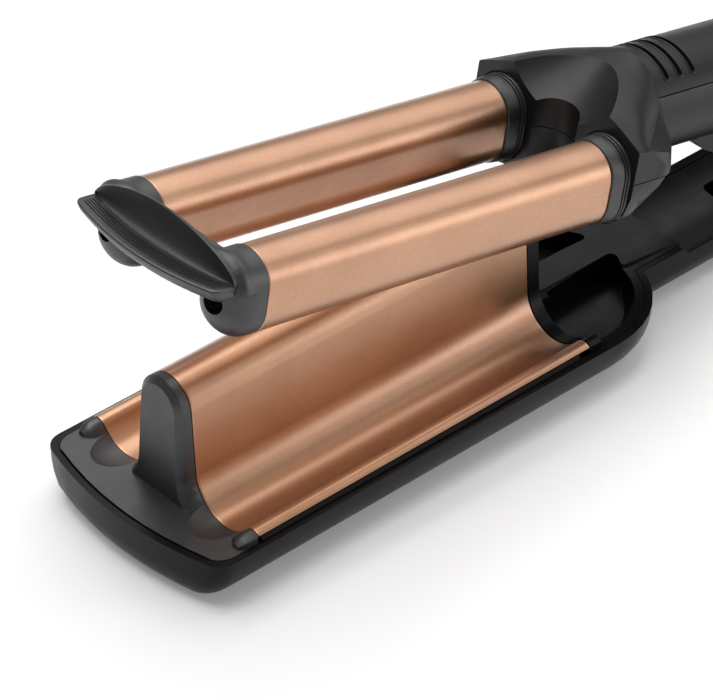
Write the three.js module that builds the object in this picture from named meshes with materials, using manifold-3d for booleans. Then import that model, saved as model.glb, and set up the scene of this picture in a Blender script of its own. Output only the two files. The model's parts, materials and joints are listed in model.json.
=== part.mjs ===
// Hot deep-waver hair styler: two oval barrels on a spring-opened upper arm close into
// the two valleys of a ridged plate on the lower arm. Millimetres. +X runs from the tip
// to the hinge, +Y is the far side and +Z is up; the underside lies on z = 0.
// The upper arm is modelled closed, in its own group about the hinge, and that group is
// then turned to its open rest.

import * as THREE from 'three';
import { mergeVertices } from 'three/addons/utils/BufferGeometryUtils.js';
import Module from 'manifold-3d';

const wasm = await Module();
wasm.setup();

// Clearances
const GAP = 0.3; // between pieces that touch
const SLIDE_GAP = 0.4; // round pieces that travel
const HAIR_GAP = 2.1; // between a closed barrel and its valley

// Waved plate, its front end at x = 0
const PLATE_LENGTH = 118;
const PLATE_THICKNESS = 1.2;
const PITCH = 20; // middle of the tool to the middle of a valley or barrel
const RIDGE_TOP = 49.9;
const RIDGE_RADIUS = 8.3;
const VALLEY_FLOOR = 12.1;
const VALLEY_RADIUS = 10.9;
const VALLEY_RISE = THREE.MathUtils.degToRad(53.5); // how far the arc climbs to the lip
const LIP_RADIUS = 3.2;
const LIP_END = THREE.MathUtils.degToRad(46);

// Lower housing
const RIM_HEIGHT = 15;
const LIP_MARGIN = 2.4; // from the plate's edge to the side of the housing
const BODY_EDGE_RADIUS = 14.3;
const NOSE_OVERHANG = 20.2; // nose ahead of the plate
const NOSE_BOW = 111; // plan radius of the nose
const NOSE_CORNER = 6;
const NOSE_EDGE_RADIUS = 7;
const SHOULDER_RADIUS = 30; // rear corners, in plan
const SHOULDER_START = 9.5; // where they start, behind the plate
const WALL = 1.9;
const HANDLE_EDGE_RADIUS = 10;
const HANDLE_REAR = 12; // rear wall behind the hinge

// Barrels
const BARREL_RADIUS = 8.7;
const BARREL_OVAL = 5.9; // between the centres of the top and bottom arcs
const BARREL_LENGTH = 121.6;
const BARREL_WALL = 1;
const BARREL_LEAD = 1.7; // front of a closed barrel behind the front of the plate

// Hinge
const HINGE_BEHIND_PLATE = 178; // pin behind the rear end of the plate
const HINGE_HEIGHT = 17;
const OPEN_ANGLE = THREE.MathUtils.degToRad(11.25);
const PIN_RADIUS = 2.5;
const BUSH_WALL = 1.4;
const EAR_RADIUS = 5.8;
const EAR_THICKNESS = 3.6;
const CAP_RADIUS = EAR_RADIUS - 0.8;

// Upper handle
const HANDLE_RADIUS = 15.5;
const HANDLE_HALF_WIDTH = HANDLE_RADIUS + 1.5; // of the lower handle
const HANDLE_LIFT = 16.1; // its axis above the pin
const HANDLE_WALL = 2;
const HANDLE_SEAM = 7.6; // parting plane above the handle's axis
const HANDLE_TAIL = 7; // end behind the pin

// Trough along the top of the lower handle, from the deck to the hinge
const TROUGH_FLOOR = 7.6;
const TROUGH_RADIUS = 31.4;
const TROUGH_BEHIND_PLATE = 54;
const TROUGH_BEFORE_PIN = 12;
const TROUGH_STEP = 2; // half the length over which the side walls step down
const COVER_THICKNESS = 1.4;

// Lower arm's inserts
const INSERT_TOP = RIM_HEIGHT + 0.1;
const INSERT_THICKNESS = 5.2;
const BASIN_BASE = 6.5;

const PLATE_REAR = PLATE_LENGTH;
const LIP_Y = PITCH + (VALLEY_RADIUS + LIP_RADIUS) * Math.sin(VALLEY_RISE);
const PLATE_REACH = LIP_Y + LIP_RADIUS * Math.cos(LIP_END);
const BODY_HALF_WIDTH = PLATE_REACH + LIP_MARGIN;
const HINGE_X = PLATE_REAR + HINGE_BEHIND_PLATE;
const VALLEY_CENTRE = VALLEY_FLOOR + VALLEY_RADIUS;
const RIDGE_CENTRE = RIDGE_TOP - RIDGE_RADIUS;
const TROUGH_FRONT = PLATE_REAR + TROUGH_BEHIND_PLATE;
const TROUGH_REAR = HINGE_X - TROUGH_BEFORE_PIN;
const COVER_BASE = TROUGH_FLOOR - COVER_THICKNESS;
const BEYOND = 60; // how far cutting tools reach past a piece
const TWO_PI = Math.PI * 2;

// Barrel sections, in the arm's group: x and z are measured from the pin
const BARREL_BOTTOM = VALLEY_FLOOR + HAIR_GAP - HINGE_HEIGHT;
const BARREL_LOW = BARREL_BOTTOM + BARREL_RADIUS; // centre of the bottom arc
const BARREL_HIGH = BARREL_LOW + BARREL_OVAL; // centre of the top arc
const BARREL_FRONT = BARREL_LEAD - HINGE_X;
const BARREL_REAR = BARREL_FRONT + BARREL_LENGTH;

// Materials
const finish = (color, roughness, metalness) => () =>
  new THREE.MeshStandardMaterial({ color, roughness, metalness });
const copper = finish(0xc48a62, 0.32, 0.9);
const black = finish(0x232425, 0.42, 0);
const satin = finish(0x2e3032, 0.6, 0);
const steel = finish(0xa8abae, 0.3, 1);
const alloy = finish(0xb9bcc0, 0.45, 1);
const ceramic = finish(0xe6e0d4, 0.7, 0);
const resin = finish(0x6b5a44, 0.7, 0);
const green = finish(0x1f5a3a, 0.6, 0);
const glow = finish(0xd8dde0, 0.2, 0);
const rubber = finish(0x1b1b1c, 0.85, 0);

// Geometry helpers

// A closed geometry as a manifold solid
function solid(geometry) {
  const bare = new THREE.BufferGeometry();
  bare.setAttribute('position', geometry.getAttribute('position').clone());
  if (geometry.index) bare.setIndex(geometry.index.clone());
  const merged = mergeVertices(bare, 1e-4);
  const vertProperties = new Float32Array(merged.getAttribute('position').array);
  const triVerts = new Uint32Array(merged.index.array);
  return new wasm.Manifold(new wasm.Mesh({ numProp: 3, vertProperties, triVerts }));
}

// A manifold solid as a geometry with flat-shaded normals
function geometryOf(manifold) {
  const mesh = manifold.getMesh();
  const geometry = new THREE.BufferGeometry();
  geometry.setAttribute('position', new THREE.BufferAttribute(new Float32Array(mesh.vertProperties), 3));
  geometry.setIndex(new THREE.BufferAttribute(new Uint32Array(mesh.triVerts), 1));
  geometry.computeVertexNormals();
  return geometry;
}

const join = (first, ...rest) => rest.reduce((sum, next) => sum.add(next), first);
const cut = (first, ...rest) => rest.reduce((left, next) => left.subtract(next), first);

// Six times the signed volume, to tell a geometry that is inside out
function signedVolume(points, faces) {
  const cross = new THREE.Vector3();
  return faces.reduce((sum, [a, b, c]) => sum + points[a].dot(cross.crossVectors(points[b], points[c])), 0);
}

const inYZ = (p) => new THREE.Vector2(p.y, p.z);

// Rings of equal length, skinned side by side and capped at both ends.
// flat maps a point to the plane in which a cap is triangulated.
function loft(rings, flat) {
  const count = rings[0].length;
  const points = rings.flat();
  const faces = [];
  for (let r = 0; r + 1 < rings.length; r++) {
    for (let i = 0; i < count; i++) {
      const a = r * count + i;
      const b = r * count + ((i + 1) % count);
      faces.push([a, b, b + count], [a, b + count, a + count]);
    }
  }
  const last = (rings.length - 1) * count;
  for (const [ring, base, turned] of [[rings[0], 0, true], [rings[rings.length - 1], last, false]]) {
    const outline = ring.map(flat);
    const clockwise = THREE.ShapeUtils.isClockWise(outline);
    const wound = clockwise ? outline.slice().reverse() : outline;
    for (const [a, b, c] of THREE.ShapeUtils.triangulateShape(wound, [])) {
      const turn = (k) => base + (clockwise ? count - 1 - k : k);
      const face = [turn(a), turn(b), turn(c)];
      if (clockwise !== turned) face.reverse();
      faces.push(face);
    }
  }
  const inward = signedVolume(points, faces) < 0;
  const geometry = new THREE.BufferGeometry();
  geometry.setFromPoints(points);
  geometry.setIndex(faces.flatMap((face) => (inward ? face.slice().reverse() : face)));
  return solid(geometry);
}

// A section in the YZ plane run along X
function alongX(section, from, to) {
  const ring = (x) => section.map(([y, z]) => new THREE.Vector3(x, y, z));
  return loft([ring(from), ring(to)], inYZ);
}

// A section in the XZ plane run along Y
function alongY(section, from, to) {
  const ring = (y) => section.map(([x, z]) => new THREE.Vector3(x, y, z));
  return loft([ring(from), ring(to)], (p) => new THREE.Vector2(p.x, p.z));
}

// A plan outline in the XY plane run along Z
function alongZ(outline, from, to) {
  const ring = (z) => outline.map(([x, y]) => new THREE.Vector3(x, y, z));
  return loft([ring(from), ring(to)], (p) => new THREE.Vector2(p.x, p.y));
}

const box = (x0, x1, y0, y1, z0, z1) => alongX([[y0, z0], [y1, z0], [y1, z1], [y0, z1]], x0, x1);

// Points on an arc, both ends included
function arc(cx, cy, radius, from, to, steps) {
  return Array.from({ length: steps + 1 }, (_, i) => {
    const angle = from + ((to - from) * i) / steps;
    return [cx + radius * Math.cos(angle), cy + radius * Math.sin(angle)];
  });
}

const circle = (cx, cy, radius, steps) => arc(cx, cy, radius, 0, TWO_PI, steps).slice(0, steps);
const rodY = (x, z, radius, y0, y1, steps = 24) => alongY(circle(x, z, radius, steps), y0, y1);
const rodX = (y, z, radius, x0, x1, steps = 24) => alongX(circle(y, z, radius, steps), x0, x1);
const rodZ = (x, y, radius, z0, z1, steps = 24) => alongZ(circle(x, y, radius, steps), z0, z1);

// A half outline from front to rear with y > 0, closed by its mirror image
const mirrored = (half) => [...half, ...half.slice().reverse().map(([x, y]) => [x, -y])];

// A rounded rectangle about (cx, cy)
function roundedRect(cx, cy, halfX, halfY, radius, steps = 4) {
  const corner = (sx, sy, from) =>
    arc(cx + sx * (halfX - radius), cy + sy * (halfY - radius), radius, from, from + Math.PI / 2, steps);
  return [
    ...corner(1, 1, 0),
    ...corner(-1, 1, Math.PI / 2),
    ...corner(-1, -1, Math.PI),
    ...corner(1, -1, Math.PI * 1.5),
  ];
}

// A stretched ball about a point
function ball(x, y, z, rx, ry, rz, across = 20, down = 12) {
  const geometry = new THREE.SphereGeometry(1, across, down);
  geometry.scale(rx, ry, rz);
  geometry.translate(x, y, z);
  return solid(geometry);
}

// Lower housing outlines

// How far a wall with a rounded foot stands in at a height
const footInset = (radius, z) => (z < radius ? radius - Math.sqrt(radius ** 2 - (radius - z) ** 2) : 0);

// Plan of the tray at a height, shrunk by a wall; it closes inside the handle
function trayOutline(z, wall) {
  const halfWidth = BODY_HALF_WIDTH - footInset(BODY_EDGE_RADIUS, z) - wall;
  const neck = HANDLE_HALF_WIDTH - footInset(HANDLE_EDGE_RADIUS, z) - wall;
  const nose = -NOSE_OVERHANG + footInset(NOSE_EDGE_RADIUS, z) + wall;
  const slope = Math.asin((halfWidth - NOSE_CORNER) / NOSE_BOW);
  const bowEnd = halfWidth - NOSE_CORNER * (1 - Math.sin(slope));
  const bow = (y) => nose + y ** 2 / (2 * NOSE_BOW);
  const cornerX = bow(bowEnd) + NOSE_CORNER * Math.cos(slope);
  const shoulder = SHOULDER_RADIUS - wall;
  const meet = Math.asin((neck - halfWidth + shoulder) / shoulder);
  return mirrored([
    ...[0.08, 0.3, 0.55, 0.8].map((t) => [bow(bowEnd * t), bowEnd * t]),
    ...arc(cornerX, halfWidth - NOSE_CORNER, NOSE_CORNER, Math.PI - slope, Math.PI / 2, 5),
    ...arc(PLATE_REAR + SHOULDER_START, halfWidth - shoulder, shoulder, Math.PI / 2, meet, 7),
  ]);
}

// Stacked plans between two heights
function trayBody(from, to, wall, steps) {
  const rings = Array.from({ length: steps + 1 }, (_, i) => {
    const z = from + (to - from) * (i / steps) ** 1.5;
    return trayOutline(z - wall, wall).map(([x, y]) => new THREE.Vector3(x, y, z));
  });
  return loft(rings, (p) => new THREE.Vector2(p.x, p.y));
}

// The room above a height that a piece inside the tray may fill, between two x
function trayRoom(from, x0, x1, wall) {
  const low = trayBody(from, RIM_HEIGHT, wall, 5);
  const high = alongZ(trayOutline(RIM_HEIGHT, wall), RIM_HEIGHT - 0.01, RIDGE_TOP + 1);
  return join(low, high).intersect(box(x0, x1, -BODY_HALF_WIDTH, BODY_HALF_WIDTH, from, RIDGE_TOP + 1));
}

// Section of the lower handle, shrunk by a wall and cut off at a height
function gripSection(wall, top) {
  const radius = HANDLE_EDGE_RADIUS - wall;
  const y = HANDLE_HALF_WIDTH - wall;
  const side = arc(y - radius, wall + radius, radius, -Math.PI / 2, 0, 7);
  return [...side, [y, top], [-y, top], ...side.slice().reverse().map(([a, b]) => [-a, b])];
}

// The hollow above the trough at x, lifted by an amount and shrunk by a wall
function troughRing(x, lift, wall = 0) {
  const reach = HANDLE_HALF_WIDTH + 2;
  const radius = TROUGH_RADIUS + wall;
  const swing = Math.asin(reach / radius);
  const centre = TROUGH_FLOOR + TROUGH_RADIUS + lift;
  const bowl = arc(0, centre, radius, -Math.PI / 2 - swing, -Math.PI / 2 + swing, 14);
  const top = RIM_HEIGHT * 2;
  return [...bowl, [reach, top], [-reach, top]].map(([y, z]) => new THREE.Vector3(x, y, z));
}

// Top surface of the waved plate, moved down by an offset, from lip to lip
function platePath(offset) {
  const rise = RIDGE_CENTRE - VALLEY_CENTRE;
  const reach = Math.hypot(PITCH, rise);
  const lean = Math.atan2(PITCH, rise) - Math.asin((RIDGE_RADIUS + VALLEY_RADIUS) / reach);
  const lipTurn = Math.PI * 1.5 + VALLEY_RISE;
  const lipZ = VALLEY_CENTRE + (VALLEY_RADIUS + LIP_RADIUS) * Math.sin(lipTurn);
  const curl = (radius) => arc(LIP_Y, lipZ, radius, lipTurn - Math.PI, LIP_END, 4).slice(1);
  const lip = offset < LIP_RADIUS ? curl(LIP_RADIUS - offset) : [];
  const half = [
    ...arc(0, RIDGE_CENTRE, RIDGE_RADIUS - offset, Math.PI / 2, lean, 8).slice(1),
    ...arc(PITCH, VALLEY_CENTRE, VALLEY_RADIUS + offset, Math.PI + lean, lipTurn, 10),
    ...lip,
  ];
  return [...half.slice().reverse().map(([y, z]) => [-y, z]), [0, RIDGE_TOP - offset], ...half];
}

// The sheet between two offsets of the plate's surface
const waveSheet = (above, below) => [...platePath(above), ...platePath(below).reverse()];

// Everything under the plate's surface, down to a height
function underPlate(offset, floor) {
  const path = platePath(offset);
  const reach = path[path.length - 1][0];
  return [...path, [reach, floor], [-reach, floor]];
}

// Lower housing: one tray and grip moulding with ribs, ears, screw bosses and gland bore
const TRAY_END = PLATE_REAR + SHOULDER_START + SHOULDER_RADIUS - 2;
const HOUSING_REAR = HINGE_X + HANDLE_REAR;
const LINER_OFFSET = PLATE_THICKNESS + GAP + 1.6 + GAP; // under the plate and its heaters
const LINER_THICKNESS = 1.4;
const RIB_THICKNESS = 2;
const RIB_COUNT = 4;
const RIB_DROP = 0.75; // under the liner, which its coarser facets need
const BOSS_RADIUS = 3.2;
const SCREW_RADIUS = 1.3;
const SCREW_HEAD = 2.6;
const GLAND_HEIGHT = 8.4;
const GLAND_RADIUS = 5;
const NOSE_SCREW = 11; // ahead of the plate
const BASIN_SCREW = 8; // behind the plate
const GRIP_SCREW_INSET = 12; // from either end of the trough
const SCREW_SPOTS = [
  -NOSE_SCREW,
  PLATE_REAR + BASIN_SCREW,
  TROUGH_FRONT + GRIP_SCREW_INSET,
  TROUGH_REAR - GRIP_SCREW_INSET,
];
const SCREW_NAMES = ['screw_nose', 'screw_basin', 'screw_grip_front', 'screw_grip_rear'];
const bossTops = [INSERT_TOP - INSERT_THICKNESS - GAP, BASIN_BASE - GAP, COVER_BASE - GAP, COVER_BASE - GAP];

const EAR_OUTER = HANDLE_HALF_WIDTH - WALL;
const EAR_INNER = EAR_OUTER - EAR_THICKNESS;
const EAR_BORE = PIN_RADIUS + GAP + BUSH_WALL + GAP;

function ear(side) {
  const y0 = side > 0 ? EAR_INNER : -EAR_OUTER;
  const plate = [
    [HINGE_X - EAR_RADIUS, RIM_HEIGHT - 5],
    [HINGE_X - EAR_RADIUS, HINGE_HEIGHT],
    ...arc(HINGE_X, HINGE_HEIGHT, EAR_RADIUS, Math.PI, 0, 12),
    [HINGE_X + EAR_RADIUS, RIM_HEIGHT - 5],
  ];
  return alongY(plate.reverse(), y0, y0 + EAR_THICKNESS);
}

// What the trough takes off the housing's side walls, with a soft step at either end
function troughRoom() {
  const rise = RIM_HEIGHT - TROUGH_FLOOR;
  const steps = [[0, 1], [0.2, 0.45], [0.5, 0.2], [0.8, 0.05], [1, 0]];
  const at = (x, way) => steps.map(([k, lift]) => troughRing(x + way * TROUGH_STEP * (2 * k - 1), lift * rise));
  return loft([...at(TROUGH_FRONT, 1), ...at(TROUGH_REAR, -1).reverse()], inYZ);
}

function lowerHousing() {
  const tray = trayBody(0, RIM_HEIGHT, 0, 6);
  const grip = alongX(gripSection(0, RIM_HEIGHT), TRAY_END - 12, HOUSING_REAR);
  const hollow = trayBody(WALL, RIM_HEIGHT + WALL, WALL, 5);
  const gripRoom = alongX(gripSection(WALL, RIM_HEIGHT + 1), TRAY_END - 13, HOUSING_REAR - WALL * 1.5);
  let body = cut(join(tray, grip), join(hollow, gripRoom));
  const ribRoom = join(
    trayBody(WALL - 0.5, RIM_HEIGHT, WALL - 0.5, 4),
    box(0, PLATE_LENGTH, -PITCH, PITCH, WALL, RIDGE_TOP)
  );
  const ribPath = platePath(LINER_OFFSET + LINER_THICKNESS + RIB_DROP).filter((_, i) => i % 2 === 0);
  const ribReach = ribPath[ribPath.length - 1][0];
  const ribSection = [...ribPath, [ribReach, WALL - 0.5], [-ribReach, WALL - 0.5]];
  const ribs = Array.from({ length: RIB_COUNT }, (_, i) => {
    const x = (PLATE_LENGTH * (i + 0.5)) / RIB_COUNT;
    return alongX(ribSection, x - RIB_THICKNESS / 2, x + RIB_THICKNESS / 2).intersect(ribRoom);
  });
  const bosses = SCREW_SPOTS.map((x, i) => rodZ(x, 0, BOSS_RADIUS, WALL - 0.5, bossTops[i], 14));
  body = join(body.subtract(troughRoom()), ...ribs, ...bosses, ear(1), ear(-1));
  const bores = SCREW_SPOTS.map((x) =>
    join(rodZ(x, 0, SCREW_RADIUS + GAP, -1, RIM_HEIGHT, 10), rodZ(x, 0, SCREW_HEAD + GAP, -1, 2.6, 14))
  );
  const pinBore = rodY(HINGE_X, HINGE_HEIGHT, EAR_BORE, -EAR_OUTER - 1, EAR_OUTER + 1);
  const glandBore = rodX(0, GLAND_HEIGHT, GLAND_RADIUS + SLIDE_GAP, HOUSING_REAR - 6, HOUSING_REAR + 1);
  const capSeats = [1, -1].map((side) =>
    rodY(HINGE_X, HINGE_HEIGHT, CAP_RADIUS + GAP, side * EAR_OUTER, side * (HANDLE_HALF_WIDTH + 1))
  );
  return cut(body, ...bores, pinBore, glandBore, ...capSeats);
}

// Front insert: the satin plate ahead of the copper, with the post that ends the ridge
const INSERT_REAR = -GAP;
const POST_FOOT = 6; // how far the post's foot stands ahead of the plate
const POST_LEAN = 2; // how far its face leans back by the top
const POST_EDGE = 1.7; // bevel round its face
const DIMPLE_REACH = 15.6; // the valleys run out forward in these

function frontInsert() {
  const floor = INSERT_TOP - INSERT_THICKNESS;
  const room = trayRoom(floor, -NOSE_OVERHANG, INSERT_REAR, WALL + GAP);
  const slab = box(-NOSE_OVERHANG, INSERT_REAR, -BODY_HALF_WIDTH, BODY_HALF_WIDTH, floor, INSERT_TOP);
  const stations = [
    [INSERT_REAR, 0, 0],
    [-POST_FOOT * 0.55, 0, 0.35],
    [-POST_FOOT * 0.8, POST_EDGE * 0.4, 0.8],
    [-POST_FOOT, POST_EDGE, 1],
  ];
  const base = VALLEY_FLOOR - POST_EDGE - 1;
  const rings = stations.map(([x, offset, lean]) =>
    underPlate(offset, base).map(([y, z]) => {
      const up = Math.max(0, (z - INSERT_TOP) / (RIDGE_TOP - INSERT_TOP));
      return new THREE.Vector3(x + POST_LEAN * lean * up, y, z);
    })
  );
  const post = loft(rings, inYZ);
  const dimples = [1, -1].map((side) =>
    ball(0, side * PITCH, VALLEY_CENTRE, DIMPLE_REACH, VALLEY_RADIUS + 0.01, VALLEY_RADIUS, 26, 16)
  );
  return cut(join(slab, post).intersect(room), ...dimples);
}

// Rear insert: arch behind the copper, basins that take the fork, and the deck that runs
// between them and on to the crease where the trough begins
const ARCH_DEPTH = 4;
const BASIN_FLOOR = 8.5;
const BASIN_RIM = 2.3; // width of the top round the basins
const DECK_HALF_WIDTH = 5;
const DECK_BEVEL = 2.1;
const DECK_RISE = 1.2;
const DECK_FALL = 0.9; // by its rear edge
const DECK_SHELL = 2.4;

function rearInsert() {
  const front = PLATE_REAR + GAP;
  const fit = WALL + GAP;
  const rear = TROUGH_FRONT;
  const neck = alongX(gripSection(fit, RIM_HEIGHT * 2), TRAY_END - SHOULDER_START, rear);
  const room = join(trayRoom(BASIN_BASE, front, HINGE_X, fit), neck);
  const block = box(front, rear, -BODY_HALF_WIDTH, BODY_HALF_WIDTH, BASIN_BASE, RIM_HEIGHT);
  const basin = trayRoom(BASIN_FLOOR, front, HINGE_X, fit + BASIN_RIM);
  const deckRing = (x, half, fall) => {
    const top = RIM_HEIGHT + DECK_RISE - fall;
    const foot = half + DECK_BEVEL;
    const shelf = top - DECK_BEVEL * 0.7;
    const low = BASIN_FLOOR - 0.5;
    const section = [[-foot, low], [-foot, shelf], [-half, top], [half, top], [foot, shelf], [foot, low]];
    return section.map(([y, z]) => new THREE.Vector3(x, y, z));
  };
  const wide = HANDLE_HALF_WIDTH - fit;
  const waist = TRAY_END - SHOULDER_START;
  const deck = loft([
    deckRing(front + 1, DECK_HALF_WIDTH, 0),
    deckRing(waist, DECK_HALF_WIDTH, DECK_FALL * 0.3),
    deckRing(TRAY_END - 2, wide - DECK_BEVEL * 1.5, DECK_FALL * 0.6),
    deckRing(rear, wide - DECK_BEVEL * 0.6, DECK_FALL),
  ], inYZ);
  const arch = alongX(underPlate(0, BASIN_BASE), front, front + ARCH_DEPTH);
  const inside = wide - DECK_SHELL;
  const hollow = box(TRAY_END, rear - DECK_SHELL, -inside, inside, 0, RIM_HEIGHT - DECK_SHELL);
  return join(cut(block, basin), arch, deck).intersect(room).subtract(hollow);
}

// Cover of the lower handle: the floor of the trough, with a mouth for the catch and a
// slot for the lock's tab
const COVER_FRONT = TROUGH_FRONT + GAP;
const COVER_REAR = HINGE_X - EAR_RADIUS - 3;
const CATCH_BEHIND_FORK = 56;
const CATCH_LENGTH = 9;
const CATCH_WIDTH = 10;
const CATCH_NOSE = 1.6; // what the lock's tongue slides over
const CATCH_DROP = 3.8; // underside of the catch below the cover
const MOUTH_MARGIN = 2.5;
const LOCK_THICKNESS = 1.6;
const LOCK_TRAVEL = 2.8;
const LOCK_TAB_Y = HANDLE_HALF_WIDTH - 6;
const LOCK_TAB_LENGTH = 9;
const LOCK_TAB_WIDTH = 3.4;
const LOCK_TAB_TOP = 12.4;
const LOCK_HALF = 6; // half the length of its plate
const LOCK_BEHIND_CATCH = 18; // middle of the lock's tab when open

const BARREL_TO_FORK = 6.4; // width of the collars that shows
const FORK_LENGTH = 25.2;
const FORK_FRONT = BARREL_LENGTH + BARREL_TO_FORK; // behind the front of the barrels
const FORK_REAR = FORK_FRONT + FORK_LENGTH;
const CATCH_X = BARREL_LEAD + FORK_REAR + CATCH_BEHIND_FORK; // middle of the closed catch
const LOCK_X = CATCH_X + LOCK_BEHIND_CATCH;

function handleCover() {
  const above = loft([troughRing(COVER_FRONT - 1, 0), troughRing(COVER_REAR + 1, 0)], inYZ);
  const under = loft([COVER_FRONT, COVER_REAR].map((x) => troughRing(x, 0, COVER_THICKNESS)), inYZ);
  const y = HANDLE_HALF_WIDTH - WALL - GAP;
  const sheet = under.subtract(above).intersect(box(COVER_FRONT, COVER_REAR, -y, y, 0, RIM_HEIGHT));
  const mouth = roundedRect(CATCH_X, 0, CATCH_LENGTH / 2 + MOUTH_MARGIN, CATCH_WIDTH / 2 + MOUTH_MARGIN, 2);
  const slotHalf = (LOCK_TAB_LENGTH + LOCK_TRAVEL) / 2 + SLIDE_GAP;
  const slot = roundedRect(LOCK_X - LOCK_TRAVEL / 2, -LOCK_TAB_Y, slotHalf, LOCK_TAB_WIDTH / 2 + SLIDE_GAP, 1);
  return cut(sheet, alongZ(mouth, 0, RIM_HEIGHT), alongZ(slot, 0, RIM_HEIGHT));
}

// Lock: a plate under the cover, its tab up through the slot and its tongue beside the catch
function lockSlider() {
  const top = COVER_BASE - SLIDE_GAP;
  const base = top - LOCK_THICKNESS;
  const plate = box(LOCK_X - LOCK_HALF, LOCK_X + LOCK_HALF, -LOCK_TAB_Y - 0.6, LOCK_HALF, base, top);
  const tongue = box(CATCH_X + CATCH_LENGTH / 2 - CATCH_NOSE + GAP + LOCK_TRAVEL, LOCK_X, -3, 3, base, top);
  const tabPlan = roundedRect(LOCK_X, -LOCK_TAB_Y, LOCK_TAB_LENGTH / 2, LOCK_TAB_WIDTH / 2, 1);
  const tab = alongZ(tabPlan, top - 1, LOCK_TAB_TOP);
  const grooves = [-3, -1, 1, 3].map((dx) => {
    const x = LOCK_X + dx;
    return box(x - 0.3, x + 0.3, -LOCK_TAB_Y - 2, -LOCK_TAB_Y + 2, LOCK_TAB_TOP - 0.4, LOCK_TAB_TOP + 1);
  });
  return cut(join(plate, tongue, tab), ...grooves);
}

// Heaters under the valleys, thermostat under the ridge
const HEATER_THICKNESS = 1.6;
const HEATER_LENGTH = 84;
const THERMOSTAT_X = PLATE_LENGTH * 0.665;
const THERMOSTAT_LENGTH = 12;

function plateHeater(side) {
  const radius = VALLEY_RADIUS + PLATE_THICKNESS + GAP;
  const face = (r) => arc(PITCH, VALLEY_CENTRE, r, Math.PI * 1.28, Math.PI * 1.72, 8);
  const outline = [...face(radius), ...face(radius + HEATER_THICKNESS).reverse()];
  const section = outline.map(([y, z]) => [side * y, z]);
  const middle = PLATE_LENGTH / 2;
  return alongX(section, middle - HEATER_LENGTH / 2, middle + HEATER_LENGTH / 2);
}

function thermostat() {
  const top = RIDGE_TOP - PLATE_THICKNESS - GAP;
  const seat = RIDGE_RADIUS - PLATE_THICKNESS - GAP;
  return rodX(0, top - seat, seat, THERMOSTAT_X, THERMOSTAT_X + THERMOSTAT_LENGTH, 20);
}

const plateLiner = () => {
  const sheet = alongX(waveSheet(LINER_OFFSET, LINER_OFFSET + LINER_THICKNESS), 2, PLATE_LENGTH - 2);
  const rear = THERMOSTAT_X + THERMOSTAT_LENGTH;
  const half = RIDGE_RADIUS;
  const window = box(THERMOSTAT_X - 1, rear + 1, -half, half, RIDGE_CENTRE - half, RIDGE_TOP);
  return cut(sheet, window);
};

// A countersunk screw up through the floor, its head down
function housingScrew(x, top) {
  const shank = rodZ(x, 0, SCREW_RADIUS, 2.2, top - 1, 10);
  const head = rodZ(x, 0, SCREW_HEAD, 0.9, 2.3, 16);
  const slotted = cut(head, box(x - 3, x + 3, -0.4, 0.4, 0.5, 1.5));
  return join(slotted, shank);
}

// Hinge pieces
const PIN_HALF = EAR_OUTER + 0.2;
const CAP_THICKNESS = 1.3;

function hingeCap(side) {
  const profile = [
    [0, 0],
    [CAP_RADIUS, 0],
    [CAP_RADIUS, CAP_THICKNESS * 0.5],
    [CAP_RADIUS - 0.8, CAP_THICKNESS],
    [0, CAP_THICKNESS],
  ];
  const geometry = new THREE.LatheGeometry(profile.map(([x, y]) => new THREE.Vector2(x, y)), 24);
  if (side < 0) geometry.rotateX(Math.PI);
  geometry.translate(HINGE_X, side * (PIN_HALF + GAP), HINGE_HEIGHT);
  return solid(geometry);
}

const hingeBush = (side) => {
  const [y0, y1] = side > 0 ? [EAR_INNER, EAR_OUTER] : [-EAR_OUTER, -EAR_INNER];
  return cut(
    rodY(HINGE_X, HINGE_HEIGHT, EAR_BORE - GAP, y0, y1),
    rodY(HINGE_X, HINGE_HEIGHT, PIN_RADIUS + GAP, y0 - 1, y1 + 1)
  );
};

// Opening spring: a few turns of wire round the pin, with a leg forward on the lower arm
const SPRING_WIRE = 0.55; // wire radius
const SPRING_RADIUS = 3.9;
const SPRING_TURNS = 3;
const SPRING_PITCH = 1.5;
const SPRING_START = 3.6; // from the middle of the tool

function openingSpring() {
  const steps = SPRING_TURNS * 8;
  const points = Array.from({ length: steps + 1 }, (_, i) => {
    const turn = -Math.PI / 2 + (TWO_PI * SPRING_TURNS * i) / steps;
    return new THREE.Vector3(
      HINGE_X - SPRING_RADIUS * Math.cos(turn),
      SPRING_START + (SPRING_PITCH * SPRING_TURNS * i) / steps,
      HINGE_HEIGHT + SPRING_RADIUS * Math.sin(turn)
    );
  });
  points.unshift(new THREE.Vector3(HINGE_X - 9, SPRING_START, HINGE_HEIGHT - SPRING_RADIUS));
  const section = new THREE.Shape(circle(0, 0, SPRING_WIRE, 5).map(([x, y]) => new THREE.Vector2(x, y)));
  const path = new THREE.CatmullRomCurve3(points, false, 'centripetal');
  const sweep = { steps: steps + 4, extrudePath: path, bevelEnabled: false };
  return solid(new THREE.ExtrudeGeometry(section, sweep));
}

// Swivelling cord gland in the rear wall, with its bore
const GLAND_BORE = 3.2;
const GLAND_FLANGE = 1.3;
const GLAND_OUT = 10; // outside the wall

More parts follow.
